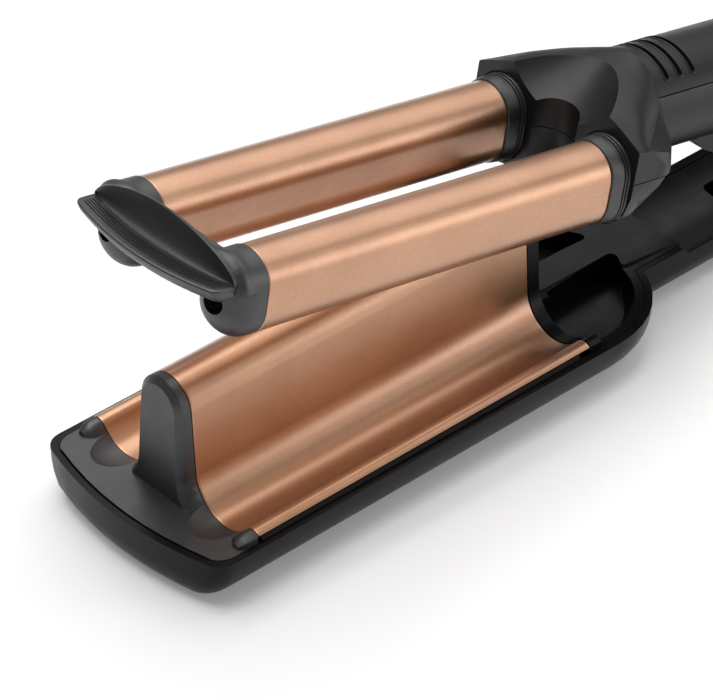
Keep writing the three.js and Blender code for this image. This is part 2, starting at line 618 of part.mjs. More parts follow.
function cordGland() {
  const wall = WALL * 1.5;
  const rows = [
    [GLAND_BORE, -wall - 2.2],
    [GLAND_RADIUS + GLAND_FLANGE, -wall - 2.2],
    [GLAND_RADIUS + GLAND_FLANGE, -wall - SLIDE_GAP],
    [GLAND_RADIUS, -wall - SLIDE_GAP],
    [GLAND_RADIUS, SLIDE_GAP],
    [GLAND_RADIUS + GLAND_FLANGE, SLIDE_GAP],
    [GLAND_RADIUS + GLAND_FLANGE, 2.4],
    [GLAND_BORE + 1.2, GLAND_OUT],
    [GLAND_BORE, GLAND_OUT],
  ];
  const profile = [...rows, rows[0]].map(([r, x]) => new THREE.Vector2(r, x));
  const geometry = new THREE.LatheGeometry(profile, 24);
  geometry.rotateZ(-Math.PI / 2);
  geometry.translate(HOUSING_REAR, 0, GLAND_HEIGHT);
  return solid(geometry);
}

// Upper arm. x and z are measured from the pin; ahead() and over() measure from the
// front of a barrel and from the centre of its top arc.
const ahead = (a) => BARREL_FRONT + a;
const over = (u) => BARREL_HIGH + u;

function ovalSection(y, radius, steps = 10) {
  return [
    ...arc(y, BARREL_HIGH, radius, 0, Math.PI, steps),
    ...arc(y, BARREL_LOW, radius, Math.PI, TWO_PI, steps),
  ];
}

const CAP_SPIGOT = 6;
const COLLAR_SPIGOT = 8;
const SPIGOT_RADIUS = BARREL_RADIUS - BARREL_WALL - GAP;

function barrel(side) {
  const y = side * PITCH;
  return cut(
    alongX(ovalSection(y, BARREL_RADIUS), BARREL_FRONT, BARREL_REAR),
    alongX(ovalSection(y, BARREL_RADIUS - BARREL_WALL), BARREL_FRONT - 1, BARREL_REAR + 1)
  );
}

// Heater core: an alloy bar with a slot for the ceramic heater
const CORE_RADIUS = SPIGOT_RADIUS;
const CORE_MARGIN = 1;
const CERAMIC_HALF_HEIGHT = 5;
const CERAMIC_HALF_WIDTH = 1.1;
const CERAMIC_INSET = 6;

function barrelCore(side) {
  const y = side * PITCH;
  const middle = (BARREL_HIGH + BARREL_LOW) / 2;
  const front = BARREL_FRONT + CAP_SPIGOT + CORE_MARGIN;
  const rear = BARREL_REAR - COLLAR_SPIGOT - CORE_MARGIN;
  const half = CERAMIC_HALF_WIDTH + GAP;
  const high = CERAMIC_HALF_HEIGHT + GAP;
  return cut(
    alongX(ovalSection(y, CORE_RADIUS, 8), front, rear),
    box(front - 1, rear + 1, y - half, y + half, middle - high, middle + high)
  );
}

function barrelHeater(side) {
  const y = side * PITCH;
  const middle = (BARREL_HIGH + BARREL_LOW) / 2;
  const front = BARREL_FRONT + CAP_SPIGOT + CERAMIC_INSET;
  const rear = BARREL_REAR - COLLAR_SPIGOT - CERAMIC_INSET;
  const half = CERAMIC_HALF_WIDTH;
  return box(front, rear, y - half, y + half, middle - CERAMIC_HALF_HEIGHT, middle + CERAMIC_HALF_HEIGHT);
}

// Tip bridge: two domed caps and the thumb rest that joins them, one moulding
const CAP_REACH = 12.6;
const CAP_FLAT = 2.5; // straight part before the dome
const SADDLE_RISE = 0.3; // skirt of the thumb rest over the top of a cap
const SADDLE_ANGLE = THREE.MathUtils.degToRad(11); // its lower edge
const SADDLE_REACH = 8;
const HOLE_RADIUS = 3.4;
const HOLE_DROP = 4.4; // screw hole below the top arc's centre
const HOLE_DEPTH = 8.5;
const SCREW_SHELF = 1.8; // thickness of the tip screws' heads
const REST_HALF_WIDTH = PITCH + 8;
const REST_CORNER = 6; // its rounded ends, in plan
const REST_BACK = -7.2;
const REST_BASE = -0.9;
const LEDGE_TOP = 3.6;
const LEDGE_FRONT = -18.4;
const LEDGE_REAR = -13.6;
const LEDGE_LIFT = 0.4;
const CREST_TOP = 13.8;
const CREST_X = -12.2;
const CREST_ROUND = 1.3; // how quickly the crest falls to the sides
const CREST_DROP = 2.9; // down its rear slope, in the middle
const SCOOP_DEPTH = 3;
const RIB_LINES = 5; // fine raised lines along the ledge
const RIB_RISE = 0.3;

function tipCap(side) {
  const y = side * PITCH;
  const dome = [0, 0.3, 0.55, 0.75, 0.9, 0.975].map((t) => [
    -CAP_FLAT - (CAP_REACH - CAP_FLAT) * t,
    Math.sqrt(1 - t ** 2),
  ]);
  const rings = [[-GAP, 1], ...dome].map(([a, scale]) => {
    const middle = (BARREL_HIGH + BARREL_LOW) / 2;
    return ovalSection(y, BARREL_RADIUS, 10).map(([py, pz]) =>
      new THREE.Vector3(ahead(a), y + (py - y) * scale, middle + (pz - middle) * scale)
    );
  });
  const shell = loft(rings, inYZ);
  const spigot = alongX(ovalSection(y, SPIGOT_RADIUS, 8), ahead(-1), ahead(CAP_SPIGOT));
  const skirt = arc(y, BARREL_HIGH, BARREL_RADIUS + SADDLE_RISE, SADDLE_ANGLE, Math.PI - SADDLE_ANGLE, 10);
  return join(shell, spigot, alongX(skirt, ahead(-SADDLE_REACH), ahead(-GAP)));
}

// Profile of the thumb rest in the XZ plane at a station from the middle, -1 to 1
function restProfile(t) {
  const edge = Math.abs(t);
  const beyond = Math.max(0, edge * REST_HALF_WIDTH - (REST_HALF_WIDTH - REST_CORNER));
  const round = REST_CORNER - Math.sqrt(REST_CORNER ** 2 - beyond ** 2);
  const front = LEDGE_FRONT + 0.3 * edge ** 2 + round;
  const rear = LEDGE_REAR + 0.3 * edge ** 2 + 0.55 * round;
  const ledge = LEDGE_TOP + LEDGE_LIFT * edge ** 2;
  const crest = ledge + 0.9 + (CREST_TOP - LEDGE_TOP - 0.9) * Math.cos((edge * Math.PI) / 2) ** CREST_ROUND;
  const crestX = CREST_X + 0.6 * edge ** 3 + 0.45 * round;
  const depth = SCOOP_DEPTH * Math.cos((edge * Math.PI) / 2) ** 0.6;
  const drop = CREST_DROP * Math.max(0, 1 - 2 * edge ** 2) + 0.2;
  const lines = Array.from({ length: RIB_LINES }, (_, i) => {
    const at = (k) => front + 0.8 + ((rear - front - 1.1) * (i + k)) / RIB_LINES;
    return [[at(0.15), ledge], [at(0.5), ledge + RIB_RISE * (1 - 0.5 * edge)], [at(0.85), ledge]];
  }).flat();
  const scoop = [0.12, 0.28, 0.45, 0.62, 0.78, 0.92].map((k) => [
    rear + (crestX - rear) * k + depth * Math.sin(Math.PI * k ** 0.9),
    ledge + 0.2 + (crest - ledge - 0.2) * k ** 1.15,
  ]);
  return [
    [front + 2.3, REST_BASE],
    [front + 1.1, REST_BASE + 0.9],
    [front + 0.3, REST_BASE + 2.4],
    [front, ledge - 0.7],
    [front + 0.4, ledge - 0.1],
    ...lines,
    [rear, ledge + 0.2],
    ...scoop,
    [crestX, crest],
    [crestX + 0.6, crest + 0.1],
    [REST_BACK - 0.4, crest - drop],
    [REST_BACK, crest - drop - 0.6],
    [REST_BACK, REST_BASE],
  ].map(([a, u]) => [ahead(a), over(u)]);
}

function thumbRest() {
  const half = [0.15, 0.32, 0.49, 0.65, 0.79, 0.88, 0.95, 0.99];
  const stations = [...half.slice().reverse().map((t) => -t), 0, ...half];
  const ring = (t) => restProfile(t).map(([x, z]) => new THREE.Vector3(x, t * REST_HALF_WIDTH, z));
  return loft(stations.map(ring), (p) => new THREE.Vector2(p.x, p.z));
}

function tipBridge() {
  const bore = (side, radius, from, to, steps) =>
    rodX(side * PITCH, over(-HOLE_DROP), radius, ahead(from), ahead(to), steps);
  const cuts = [1, -1].flatMap((side) => [
    bore(side, HOLE_RADIUS, -CAP_REACH - 2, HOLE_DEPTH - CAP_REACH, 20),
    bore(side, SCREW_RADIUS + GAP, -CAP_REACH, CAP_SPIGOT + 1, 10),
  ]);
  return cut(join(tipCap(1), tipCap(-1), thumbRest()), ...cuts);
}

function tipScrew(side) {
  const seat = ahead(HOLE_DEPTH - CAP_REACH) - GAP;
  const y = side * PITCH;
  const z = over(-HOLE_DROP);
  const head = cut(
    rodX(y, z, HOLE_RADIUS - GAP, seat - SCREW_SHELF, seat, 18),
    box(seat - 3, seat - 1, y - 0.4, y + 0.4, z - HOLE_RADIUS, z + HOLE_RADIUS)
  );
  return join(head, rodX(y, z, SCREW_RADIUS, seat - 0.5, ahead(CAP_SPIGOT - 0.5), 10));
}

// Collars: heatproof rings between the barrels and the fork
const COLLAR_RADIUS = BARREL_RADIUS + 0.9;
const COLLAR_SEAT = 5; // how far a collar runs into the fork
const RING_GROOVE = 0.45;

function collar(side) {
  const y = side * PITCH;
  const front = BARREL_REAR + GAP;
  const face = ahead(FORK_FRONT);
  const band = (radius, from, to) => alongX(ovalSection(y, radius), from, to);
  return join(
    band(COLLAR_RADIUS - 0.4, front, front + 1.2),
    band(COLLAR_RADIUS, front + 1, face - 2),
    band(COLLAR_RADIUS - RING_GROOVE, face - 2.2, face - 1.2),
    band(COLLAR_RADIUS + 0.2, face - 1.3, face + COLLAR_SEAT - GAP),
    alongX(ovalSection(y, SPIGOT_RADIUS, 8), front - COLLAR_SPIGOT, front + 1)
  );
}

// Fork: two shells that part on a plane. Each row is a station behind the fork's front
// face, then half-section points (y, height over the top arcs' centres): the parting line,
// the corner of the side facet, the crease, and on to the crown. y is drawn for a pitch of
// FORK_DRAWN_PITCH and widens with the real one.
const FORK_PART = -0.3;
const FORK_DRAWN_PITCH = 20;
const FORK_WALL = 2.6;
const RING_RADIUS = HANDLE_RADIUS + 0.35;
const AXIS_UP = HANDLE_LIFT - BARREL_HIGH; // handle's axis over the top arcs' centres
const TOP_STATIONS = [
  [0, [31, -0.3], [31, 9], [30.5, 9.6], [25, 12], [18.5, 14.4], [10, 15.4], [0, 15.8]],
  [3.8, [31, -0.3], [31, 7.4], [30.4, 9.2], [25, 12.4], [18.5, 14.9], [10, 16], [0, 16.4]],
  [8, [31, -0.3], [30.8, 4.6], [27.4, 8.9], [23.6, 12.6], [18, 15.2], [10, 16.5], [0, 16.9]],
  [12.7, [31, -0.3], [29.6, 2.2], [23.9, 8.5], [20.8, 12.8], [16.4, 15.4], [9.3, 16.9], [0, 17.4]],
  [17, [28.2, -0.3], [26.8, 2], [20.8, 8.1], [18.6, 12.8], [14.6, 15.8], [8.3, 17.4], [0, 18]],
  [21.5, [22.8, -0.3], [21.4, 2], [17.6, 7.6], [16, 12.6], [12.6, 16], [7.4, 18.3], [0, 19]],
];
const BOTTOM_STATIONS = [
  [0, [31, -0.3], [31, -4.4], [29.2, -10.6], [24.6, -15.4], [19, -16.2], [11.5, -14.6], [0, -8.5]],
  [6, [31, -0.3], [30.6, -4.4], [28.4, -10], [23.6, -14.6], [18, -15.4], [11, -13.8], [0, -8.8]],
  [12.7, [31, -0.3], [29.4, -4.2], [26, -9], [21.4, -12.9], [16.4, -13.6], [10, -12.4], [0, -10]],
  [19, [25.6, -0.3], [23.8, -3.8], [20.2, -8.4], [16, -11.6], [11.8, -12.4], [7.4, -12.2], [0, -11.6]],
];

// The last ring of each shell lies on the handle's ring
function ringStation(low) {
  const from = Math.asin((FORK_PART - AXIS_UP) / RING_RADIUS);
  const to = low ? -Math.PI / 2 : Math.PI / 2;
  return [FORK_REAR, ...arc(0, AXIS_UP, RING_RADIUS, from, to, 6)];
}

function forkLoft(stations, wall, low) {
  const widen = PITCH / FORK_DRAWN_PITCH;
  const rows = stations.map(([a, ...half]) => [FORK_FRONT + a, ...half.map(([y, u]) => [y * widen, u])]);
  const centre = low ? -5 : 6;
  const rings = [...rows, ringStation(low)].map(([a, ...half]) => {
    const inner = half.map(([y, u]) => {
      const long = Math.hypot(y, u - centre) || 1;
      return [y * (1 - wall / long), u - ((u - centre) * wall) / long];
    });
    inner[0][1] = FORK_PART;
    const bent = inner.slice(2).map(([y, u]) => new THREE.Vector3(0, y, u));
    const curve = new THREE.CatmullRomCurve3(bent, false, 'centripetal');
    const side = [inner[0], inner[1], ...curve.getPoints(6).map((p) => [p.y, p.z])];
    return [...side, ...side.slice(0, -1).reverse().map(([y, u]) => [-y, u])].map(([y, u]) =>
      new THREE.Vector3(ahead(a), y, over(u))
    );
  });
  return loft(rings, inYZ);
}

// Sockets for the collars, shared by both shells
const SOCKET_RADIUS = COLLAR_RADIUS + 0.2 + GAP;
const socket = (side) =>
  alongX(ovalSection(side * PITCH, SOCKET_RADIUS), ahead(FORK_FRONT - 1), ahead(FORK_FRONT + COLLAR_SEAT));
const CAVE_HALF_WIDTH = 8;
const CAVE_DEPTH = 5;
const DISH_RADIUS = 24.3; // of its round floor
const DISH_LOW = 6; // floor at the front face
const DISH_BEYOND = 3; // how far its round floor is drawn past the barrels' middles
const DISH_CLIMB = 0.648; // rise of the floor for each millimetre rearward

// Cave between the tines: an upright scallop, open into the dish above it
function cave() {
  const radius = (CAVE_HALF_WIDTH ** 2 + CAVE_DEPTH ** 2) / (2 * CAVE_DEPTH);
  return alongZ(circle(ahead(FORK_FRONT + CAVE_DEPTH) - radius, 0, radius, 32), over(-BEYOND), over(BEYOND));
}

// Dish: a broad round scoop that climbs from the front face to the crown
function dish(grow) {
  const radius = DISH_RADIUS + grow;
  const swing = Math.asin((PITCH + DISH_BEYOND) / DISH_RADIUS);
  const ring = (a) => {
    const centre = DISH_LOW + DISH_RADIUS + DISH_CLIMB * (a - FORK_FRONT);
    const floor = arc(0, centre, radius, -Math.PI / 2 - swing, -Math.PI / 2 + swing, 22);
    const lid = centre + 9;
    return [...floor, [radius, lid], [-radius, lid]].map(([y, u]) => new THREE.Vector3(ahead(a), y, over(u)));
  };
  return loft([ring(FORK_FRONT - 1), ring(FORK_REAR)], inYZ);
}

// Room inside a shell, behind the block that holds the collars
function forkRoom(stations, low) {
  const front = ahead(FORK_FRONT + COLLAR_SEAT + 2);
  return forkLoft(stations, FORK_WALL, low).intersect(box(front, BEYOND, -BEYOND, BEYOND, -BEYOND, BEYOND));
}

function forkTop() {
  const body = forkLoft(TOP_STATIONS, 0, false);
  const room = cut(forkRoom(TOP_STATIONS, false), dish(FORK_WALL));
  return cut(body, socket(1), socket(-1), cave(), dish(0), room);
}

function forkBottom() {
  const body = forkLoft(BOTTOM_STATIONS, 0, true);
  const lower = cut(body, socket(1), socket(-1), cave(), forkRoom(BOTTOM_STATIONS, true));
  return cut(lower, box(ahead(0), BEYOND, -BEYOND, BEYOND, over(FORK_PART - GAP), over(FORK_PART + 2)));
}

// Upper handle: a round tube in two shells that part above its axis
const HANDLE_FRONT = ahead(FORK_REAR) + GAP;
const SEAM_Z = HANDLE_LIFT + HANDLE_SEAM;
const VENT_COUNT = 3;
const VENT_FIRST = FORK_REAR + 5.2; // behind the front of the barrels
const VENT_PITCH = 5.2;
const VENT_WIDTH = 1.9;
const VENT_HALF_ANGLE = THREE.MathUtils.degToRad(42);
const VENT_DEPTH = 1.3;
const VENT_ROUND = THREE.MathUtils.degToRad(2.5); // extra swing in the middle of its round ends
const POWER_X = -48; // from the pin
const POWER_RADIUS = 5.2;
const STEP_RADIUS = 3.6; // plus and minus buttons
const STEP_BEFORE_POWER = 18;
const STEP_SPACING = 12;
const STEP_X = [POWER_X - STEP_BEFORE_POWER, POWER_X - STEP_BEFORE_POWER - STEP_SPACING];
const LIGHT_BEFORE_POWER = 44;
const LIGHT_X = POWER_X - LIGHT_BEFORE_POWER;
const LIGHT_PITCH = 5;
const LIGHT_COUNT = 3;
const LIGHT_HALF = [1.2, 2.6];
const PANEL_FLAT = 1.1; // how far the flat panel lies under the crown
const PANEL_SKIN = 1.6;
const BUTTON_TRAVEL = 0.8;
const BUTTON_PROUD = 1.1;
const BUTTON_FLANGE = 0.9;
const KNUCKLE_RADIUS = 5.6;
const KNUCKLE_HALF = EAR_INNER - 0.5;

const handleCrown = HANDLE_LIFT + HANDLE_RADIUS;
const panelZ = handleCrown - PANEL_FLAT;

const TAIL_LIFT = 0.3; // how far the rounded tail draws up

// The handle's outer or inner form, rounded at the tail
function handleForm(wall) {
  const radius = HANDLE_RADIUS - wall;
  const tail = HANDLE_TAIL - wall;
  const bend = 10;
  const ends = wall ? [[HANDLE_FRONT - 1, 1]] : [[HANDLE_FRONT, 1]];
  const dome = arc(0, 0, 1, 0, Math.PI / 2, 4).map(([c, s]) => [tail - bend + bend * s, 1 - 0.45 * (1 - c)]);
  const rings = [...ends, ...dome].map(([x, scale]) => {
    const centre = HANDLE_LIFT + radius * (1 - scale) * TAIL_LIFT;
    return circle(0, centre, radius * scale, 36).map(([y, z]) => new THREE.Vector3(x, y, z));
  });
  return loft(rings, inYZ);
}

const aboveSeam = () => box(HANDLE_FRONT - 1, BEYOND, -BEYOND, BEYOND, SEAM_Z + GAP, BEYOND);
const belowSeam = () => box(HANDLE_FRONT - 1, BEYOND, -BEYOND, BEYOND, -BEYOND, SEAM_Z);
const buttonSpots = [[POWER_X, POWER_RADIUS], [STEP_X[0], STEP_RADIUS], [STEP_X[1], STEP_RADIUS]];

// One curved vent: a shallow slot that follows the round of the handle
function vent(index) {
  const x = ahead(VENT_FIRST + index * VENT_PITCH);
  const from = Math.PI / 2 - VENT_HALF_ANGLE;
  const to = Math.PI / 2 + VENT_HALF_ANGLE;
  const band = (swing) => [
    ...arc(0, HANDLE_LIFT, HANDLE_RADIUS + 1, from - swing, to + swing, 8),
    ...arc(0, HANDLE_LIFT, HANDLE_RADIUS - VENT_DEPTH, to + swing, from - swing, 8),
  ];
  const half = VENT_WIDTH / 2;
  const stations = [[-half, 0], [-half * 0.5, VENT_ROUND], [half * 0.5, VENT_ROUND], [half, 0]];
  const rings = stations.map(([dx, swing]) => band(swing).map(([y, z]) => new THREE.Vector3(x + dx, y, z)));
  return loft(rings, inYZ);
}

const lightSpot = (i) => LIGHT_X - (i - (LIGHT_COUNT - 1) / 2) * LIGHT_PITCH;

function handleTop() {
  const shell = handleForm(0).intersect(aboveSeam()).subtract(handleForm(HANDLE_WALL));
  const backing = handleForm(HANDLE_WALL * 0.5).intersect(
    box(LIGHT_X - 12, POWER_X + 12, -9.5, 9.5, handleCrown - 4, handleCrown)
  );
  const panelPlan = roundedRect((LIGHT_X + POWER_X) / 2, 0, (POWER_X - LIGHT_X) / 2 + 10, 7.6, 7);
  const panel = alongZ(panelPlan, panelZ, handleCrown + 1);
  const holes = buttonSpots.map(([x, radius]) => rodZ(x, 0, radius + SLIDE_GAP, panelZ - 8, panelZ + 2, 28));
  const wells = buttonSpots.map(([x, radius]) =>
    rodZ(x, 0, radius + BUTTON_FLANGE + SLIDE_GAP, panelZ - 8, panelZ - PANEL_SKIN, 28)
  );
  const lights = Array.from({ length: LIGHT_COUNT }, (_, i) =>
    alongZ(roundedRect(lightSpot(i), 0, LIGHT_HALF[0] + GAP, LIGHT_HALF[1] + GAP, 1), panelZ - 6, panelZ + 2)
  );
  const vents = Array.from({ length: VENT_COUNT }, (_, i) => vent(i));
  return cut(join(shell, backing), panel, ...holes, ...wells, ...lights, ...vents);
}

// Keel under the handle that carries the catch. Points of its side outline are measured
// from the pin, shrunk by a wall.
const KEEL_BEFORE_CATCH = 30;
const KEEL_BEHIND_CATCH = 16;
const KEEL_HALF_WIDTH = 6;
const KEEL_CLEARANCE = 2.2; // over the closed trough
const KEEL_WALL = 1.8;

function keel(wall) {
  const low = TROUGH_FLOOR + KEEL_CLEARANCE - HINGE_HEIGHT + wall;
  const x = CATCH_X - HINGE_X;
  const front = x - KEEL_BEFORE_CATCH + wall;
  const rear = x + KEEL_BEHIND_CATCH - wall;
  const top = HANDLE_LIFT - HANDLE_RADIUS / 2;
  const profile = [
    [front, top],
    [front, 2],
    [front + 7, low + 4],
    [front + 16, low],
    [rear - 7, low],
    [rear, low + 4],
    [rear, top],
  ];
  return alongY(profile, wall - KEEL_HALF_WIDTH, KEEL_HALF_WIDTH - wall);
}

function catchHook() {
  const x = CATCH_X - HINGE_X;
  const cover = COVER_BASE - HINGE_HEIGHT;
  const root = TROUGH_FLOOR + KEEL_CLEARANCE - HINGE_HEIGHT + KEEL_WALL / 2;
  const half = CATCH_LENGTH / 2;
  const low = cover - CATCH_DROP;
  const nose = cover - SLIDE_GAP - LOCK_THICKNESS - GAP;
  const stem = x + half - CATCH_NOSE;
  const profile = [
    [x - half, root],
    [x - half, low + 2],
    [x - half + 2, low],
    [x + half - 1.5, low],
    [x + half, low + 0.7],
    [x + half, nose - 0.4],
    [stem, nose],
    [stem, root],
  ];
  return alongY(profile, -CATCH_WIDTH / 2, CATCH_WIDTH / 2);
}

function handleBottom() {
  const outer = join(handleForm(0).intersect(belowSeam()), keel(0));
  const inner = join(handleForm(HANDLE_WALL), keel(KEEL_WALL));
  const knuckleTop = HANDLE_LIFT - HANDLE_RADIUS + HANDLE_WALL + 0.8;
  const knuckleSide = [
    [-KNUCKLE_RADIUS - 3, knuckleTop],
    ...arc(0, 0, KNUCKLE_RADIUS, Math.PI, TWO_PI, 14),
    [KNUCKLE_RADIUS, knuckleTop],
  ];
  const knuckle = alongY(knuckleSide, -KNUCKLE_HALF, SPRING_START - 1.4);
  const rails = [-RAIL_Y, RAIL_Y].map((y) =>
    box(BOARD_FRONT + 1, BOARD_REAR - 1, y - 1, y + 1, HANDLE_LIFT - HANDLE_RADIUS + 3, BOARD_Z - GAP)
  );
  const shell = join(outer.subtract(inner), knuckle, catchHook(), ...rails);
  const earRoom = [1, -1].map((side) => {
    const y0 = side > 0 ? EAR_INNER - SLIDE_GAP : -EAR_OUTER - 4;
    return rodY(0, 0, EAR_RADIUS + 0.9, y0, y0 + EAR_THICKNESS + 4 + SLIDE_GAP, 28);
  });
  const springRoom = rodY(0, 0, SPRING_RADIUS + SPRING_WIRE + 0.6, SPRING_START - 1.4, KNUCKLE_HALF, 24);
  return cut(shell, ...earRoom, springRoom, rodY(0, 0, PIN_RADIUS + GAP, -20, 20));
}

// Board and the buttons that press it
const BOARD_Z = HANDLE_LIFT + 3.4;
const BOARD_FRONT = LIGHT_X - 5;
const BOARD_REAR = POWER_X + 9;
const BOARD_HALF_WIDTH = 10;
const RAIL_Y = BOARD_HALF_WIDTH - 1.4;
const BOARD_THICKNESS = 1.6;
const SWITCH_HEIGHT = 2.6;
const HOLLOW_RADIUS = 9.2; // of the hollow in the power button
const HOLLOW_DEPTH = 0.8;

function controlBoard() {
  const half = BOARD_HALF_WIDTH;
  const board = box(BOARD_FRONT, BOARD_REAR, -half, half, BOARD_Z, BOARD_Z + BOARD_THICKNESS);
  const top = BOARD_Z + BOARD_THICKNESS - 0.2;
  const switches = buttonSpots.map(([x]) => box(x - 3, x + 3, -3, 3, top, top + SWITCH_HEIGHT));
  const lamps = Array.from({ length: LIGHT_COUNT }, (_, i) =>
    box(lightSpot(i) - 1, lightSpot(i) + 1, -1.5, 1.5, top, top + 1.4)
  );
  return join(board, ...switches, ...lamps);
}

function button([x, radius], mark) {
  const switchTop = BOARD_Z + BOARD_THICKNESS - 0.2 + SWITCH_HEIGHT;
  const flangeTop = panelZ - PANEL_SKIN - GAP;
  const cap = rodZ(x, 0, radius, flangeTop - 0.5, panelZ + BUTTON_PROUD, 28);
  const flange = rodZ(x, 0, radius + BUTTON_FLANGE, flangeTop - 1.2, flangeTop, 28);
  const stem = rodZ(x, 0, 1.5, switchTop + BUTTON_TRAVEL + 0.1, flangeTop - 1, 12);
  const top = panelZ + BUTTON_PROUD;
  return cut(join(cap, flange, stem), ...mark(x, top));
}

const bar = (x, top, halfX, halfY) => box(x - halfX, x + halfX, -halfY, halfY, top - 0.35, top + 1);
const minusMark = (x, top) => [bar(x, top, 0.3, 1.7)];
const plusMark = (x, top) => [bar(x, top, 0.3, 1.7), bar(x, top, 1.7, 0.3)];
const hollowMark = (x, top) => {
  const radius = HOLLOW_RADIUS;
  return [ball(x, 0, top + radius - HOLLOW_DEPTH, radius, radius, radius, 24, 18)];
};

const lightWindow = (i) =>
  alongZ(roundedRect(lightSpot(i), 0, LIGHT_HALF[0], LIGHT_HALF[1], 0.9), panelZ - 2.2, panelZ + 0.1);

// Assembly
const tool = new THREE.Group();
const lowerArm = new THREE.Group();
const upperArm = new THREE.Group();
tool.add(lowerArm, upperArm);
upperArm.position.set(HINGE_X, 0, HINGE_HEIGHT);
upperArm.rotation.y = OPEN_ANGLE;

function place(group, name, body, material) {
  const mesh = new THREE.Mesh(geometryOf(body), material());
  mesh.name = name;
  group.add(mesh);
}

place(lowerArm, 'lower_housing', lowerHousing(), black);
place(lowerArm, 'handle_cover', handleCover(), black);
place(lowerArm, 'wave_plate', alongX(waveSheet(0, PLATE_THICKNESS), 0, PLATE_LENGTH), copper);
place(lowerArm, 'plate_liner', plateLiner(), resin);
place(lowerArm, 'front_insert', frontInsert(), satin);
place(lowerArm, 'rear_insert', rearInsert(), black);
place(lowerArm, 'plate_heater_near', plateHeater(-1), ceramic);
place(lowerArm, 'plate_heater_far', plateHeater(1), ceramic);
place(lowerArm, 'thermostat', thermostat(), alloy);
SCREW_SPOTS.forEach((x, i) => place(lowerArm, SCREW_NAMES[i], housingScrew(x, bossTops[i]), steel));
place(lowerArm, 'lock_slider', lockSlider(), satin);
place(lowerArm, 'hinge_pin', rodY(HINGE_X, HINGE_HEIGHT, PIN_RADIUS, -PIN_HALF, PIN_HALF), steel);
place(lowerArm, 'hinge_bush_near', hingeBush(-1), alloy);
place(lowerArm, 'hinge_bush_far', hingeBush(1), alloy);
place(lowerArm, 'hinge_cap_near', hingeCap(-1), black);
place(lowerArm, 'hinge_cap_far', hingeCap(1), black);
place(lowerArm, 'opening_spring', openingSpring(), steel);
place(lowerArm, 'cord_gland', cordGland(), rubber);

for (const [side, label] of [[-1, 'near'], [1, 'far']]) {
  place(upperArm, `barrel_${label}`, barrel(side), copper);
  place(upperArm, `barrel_core_${label}`, barrelCore(side), alloy);
  place(upperArm, `barrel_heater_${label}`, barrelHeater(side), ceramic);
  place(upperArm, `collar_${label}`, collar(side), satin);
  place(upperArm, `tip_screw_${label}`, tipScrew(side), steel);
}
place(upperArm, 'tip_bridge', tipBridge(), satin);
place(upperArm, 'fork_top', forkTop(), black);
place(upperArm, 'fork_bottom', forkBottom(), black);
place(upperArm, 'handle_top', handleTop(), black);
place(upperArm, 'handle_bottom', handleBottom(), black);
place(upperArm, 'control_board', controlBoard(), green);
place(upperArm, 'power_button', button(buttonSpots[0], hollowMark), satin);
place(upperArm, 'minus_button', button(buttonSpots[1], minusMark), satin);
place(upperArm, 'plus_button', button(buttonSpots[2], plusMark), satin);
for (let i = 0; i < LIGHT_COUNT; i++) place(upperArm, `light_window_${i + 1}`, lightWindow(i), glow);

// The origin is under the middle of the tool
tool.position.x = (NOSE_OVERHANG - HOUSING_REAR - GLAND_OUT) / 2;

export default tool;
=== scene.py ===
"""A two-barrel deep waver on a white studio floor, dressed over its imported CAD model."""
import bisect
import contextlib
import json
import math
from types import SimpleNamespace as Sizes

import bmesh
import bpy
from mathutils import Matrix, Vector

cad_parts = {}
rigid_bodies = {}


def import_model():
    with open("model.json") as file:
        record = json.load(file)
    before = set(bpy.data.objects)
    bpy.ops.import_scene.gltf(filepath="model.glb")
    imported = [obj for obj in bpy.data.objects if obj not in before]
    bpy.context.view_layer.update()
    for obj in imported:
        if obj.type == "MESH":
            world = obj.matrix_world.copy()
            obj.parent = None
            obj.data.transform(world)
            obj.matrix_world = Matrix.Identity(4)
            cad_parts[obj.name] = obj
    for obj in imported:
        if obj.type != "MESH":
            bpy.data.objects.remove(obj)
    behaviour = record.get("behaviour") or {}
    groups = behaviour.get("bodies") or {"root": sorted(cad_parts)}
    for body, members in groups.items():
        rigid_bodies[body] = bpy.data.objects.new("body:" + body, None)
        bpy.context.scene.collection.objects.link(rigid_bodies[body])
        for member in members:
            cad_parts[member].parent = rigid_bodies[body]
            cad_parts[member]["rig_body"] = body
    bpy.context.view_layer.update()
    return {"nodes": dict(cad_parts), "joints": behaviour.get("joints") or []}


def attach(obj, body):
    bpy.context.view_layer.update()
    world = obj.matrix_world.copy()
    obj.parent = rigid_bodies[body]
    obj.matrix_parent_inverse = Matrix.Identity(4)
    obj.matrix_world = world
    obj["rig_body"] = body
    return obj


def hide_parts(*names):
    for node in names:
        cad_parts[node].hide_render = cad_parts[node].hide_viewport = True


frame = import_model()
MM = 0.001
SIDES = ((-1, "near"), (1, "far"))

# Camera: the photograph's view, looking down past the nose at the waves
CAMERA_AT = (-0.638343, -0.624627, 0.655929)
CAMERA_RIGHT = Vector((0.7446084, -0.66745045, -0.00825985))
CAMERA_UP = Vector((0.40747552, 0.44470938, 0.79761975))
CAMERA_BACK = Vector((-0.52869843, -0.59728006, 0.60310406))
SENSOR_WIDTH = 36.0
LENS = 198.02
FARTHEST_SEEN = 20


def new_object(name, data):
    """An object of this name and data, in the scene."""
    thing = bpy.data.objects.new(name, data)
    bpy.context.scene.collection.objects.link(thing)
    return thing


def make_camera():
    data = bpy.data.cameras.new("view")
    data.sensor_width = SENSOR_WIDTH
    data.lens = LENS
    data.clip_end = FARTHEST_SEEN
    camera = new_object("view", data)
    turn = Matrix((CAMERA_RIGHT, CAMERA_UP, CAMERA_BACK)).transposed()
    camera.matrix_world = Matrix.Translation(CAMERA_AT) @ turn.to_4x4()
    bpy.context.scene.camera = camera


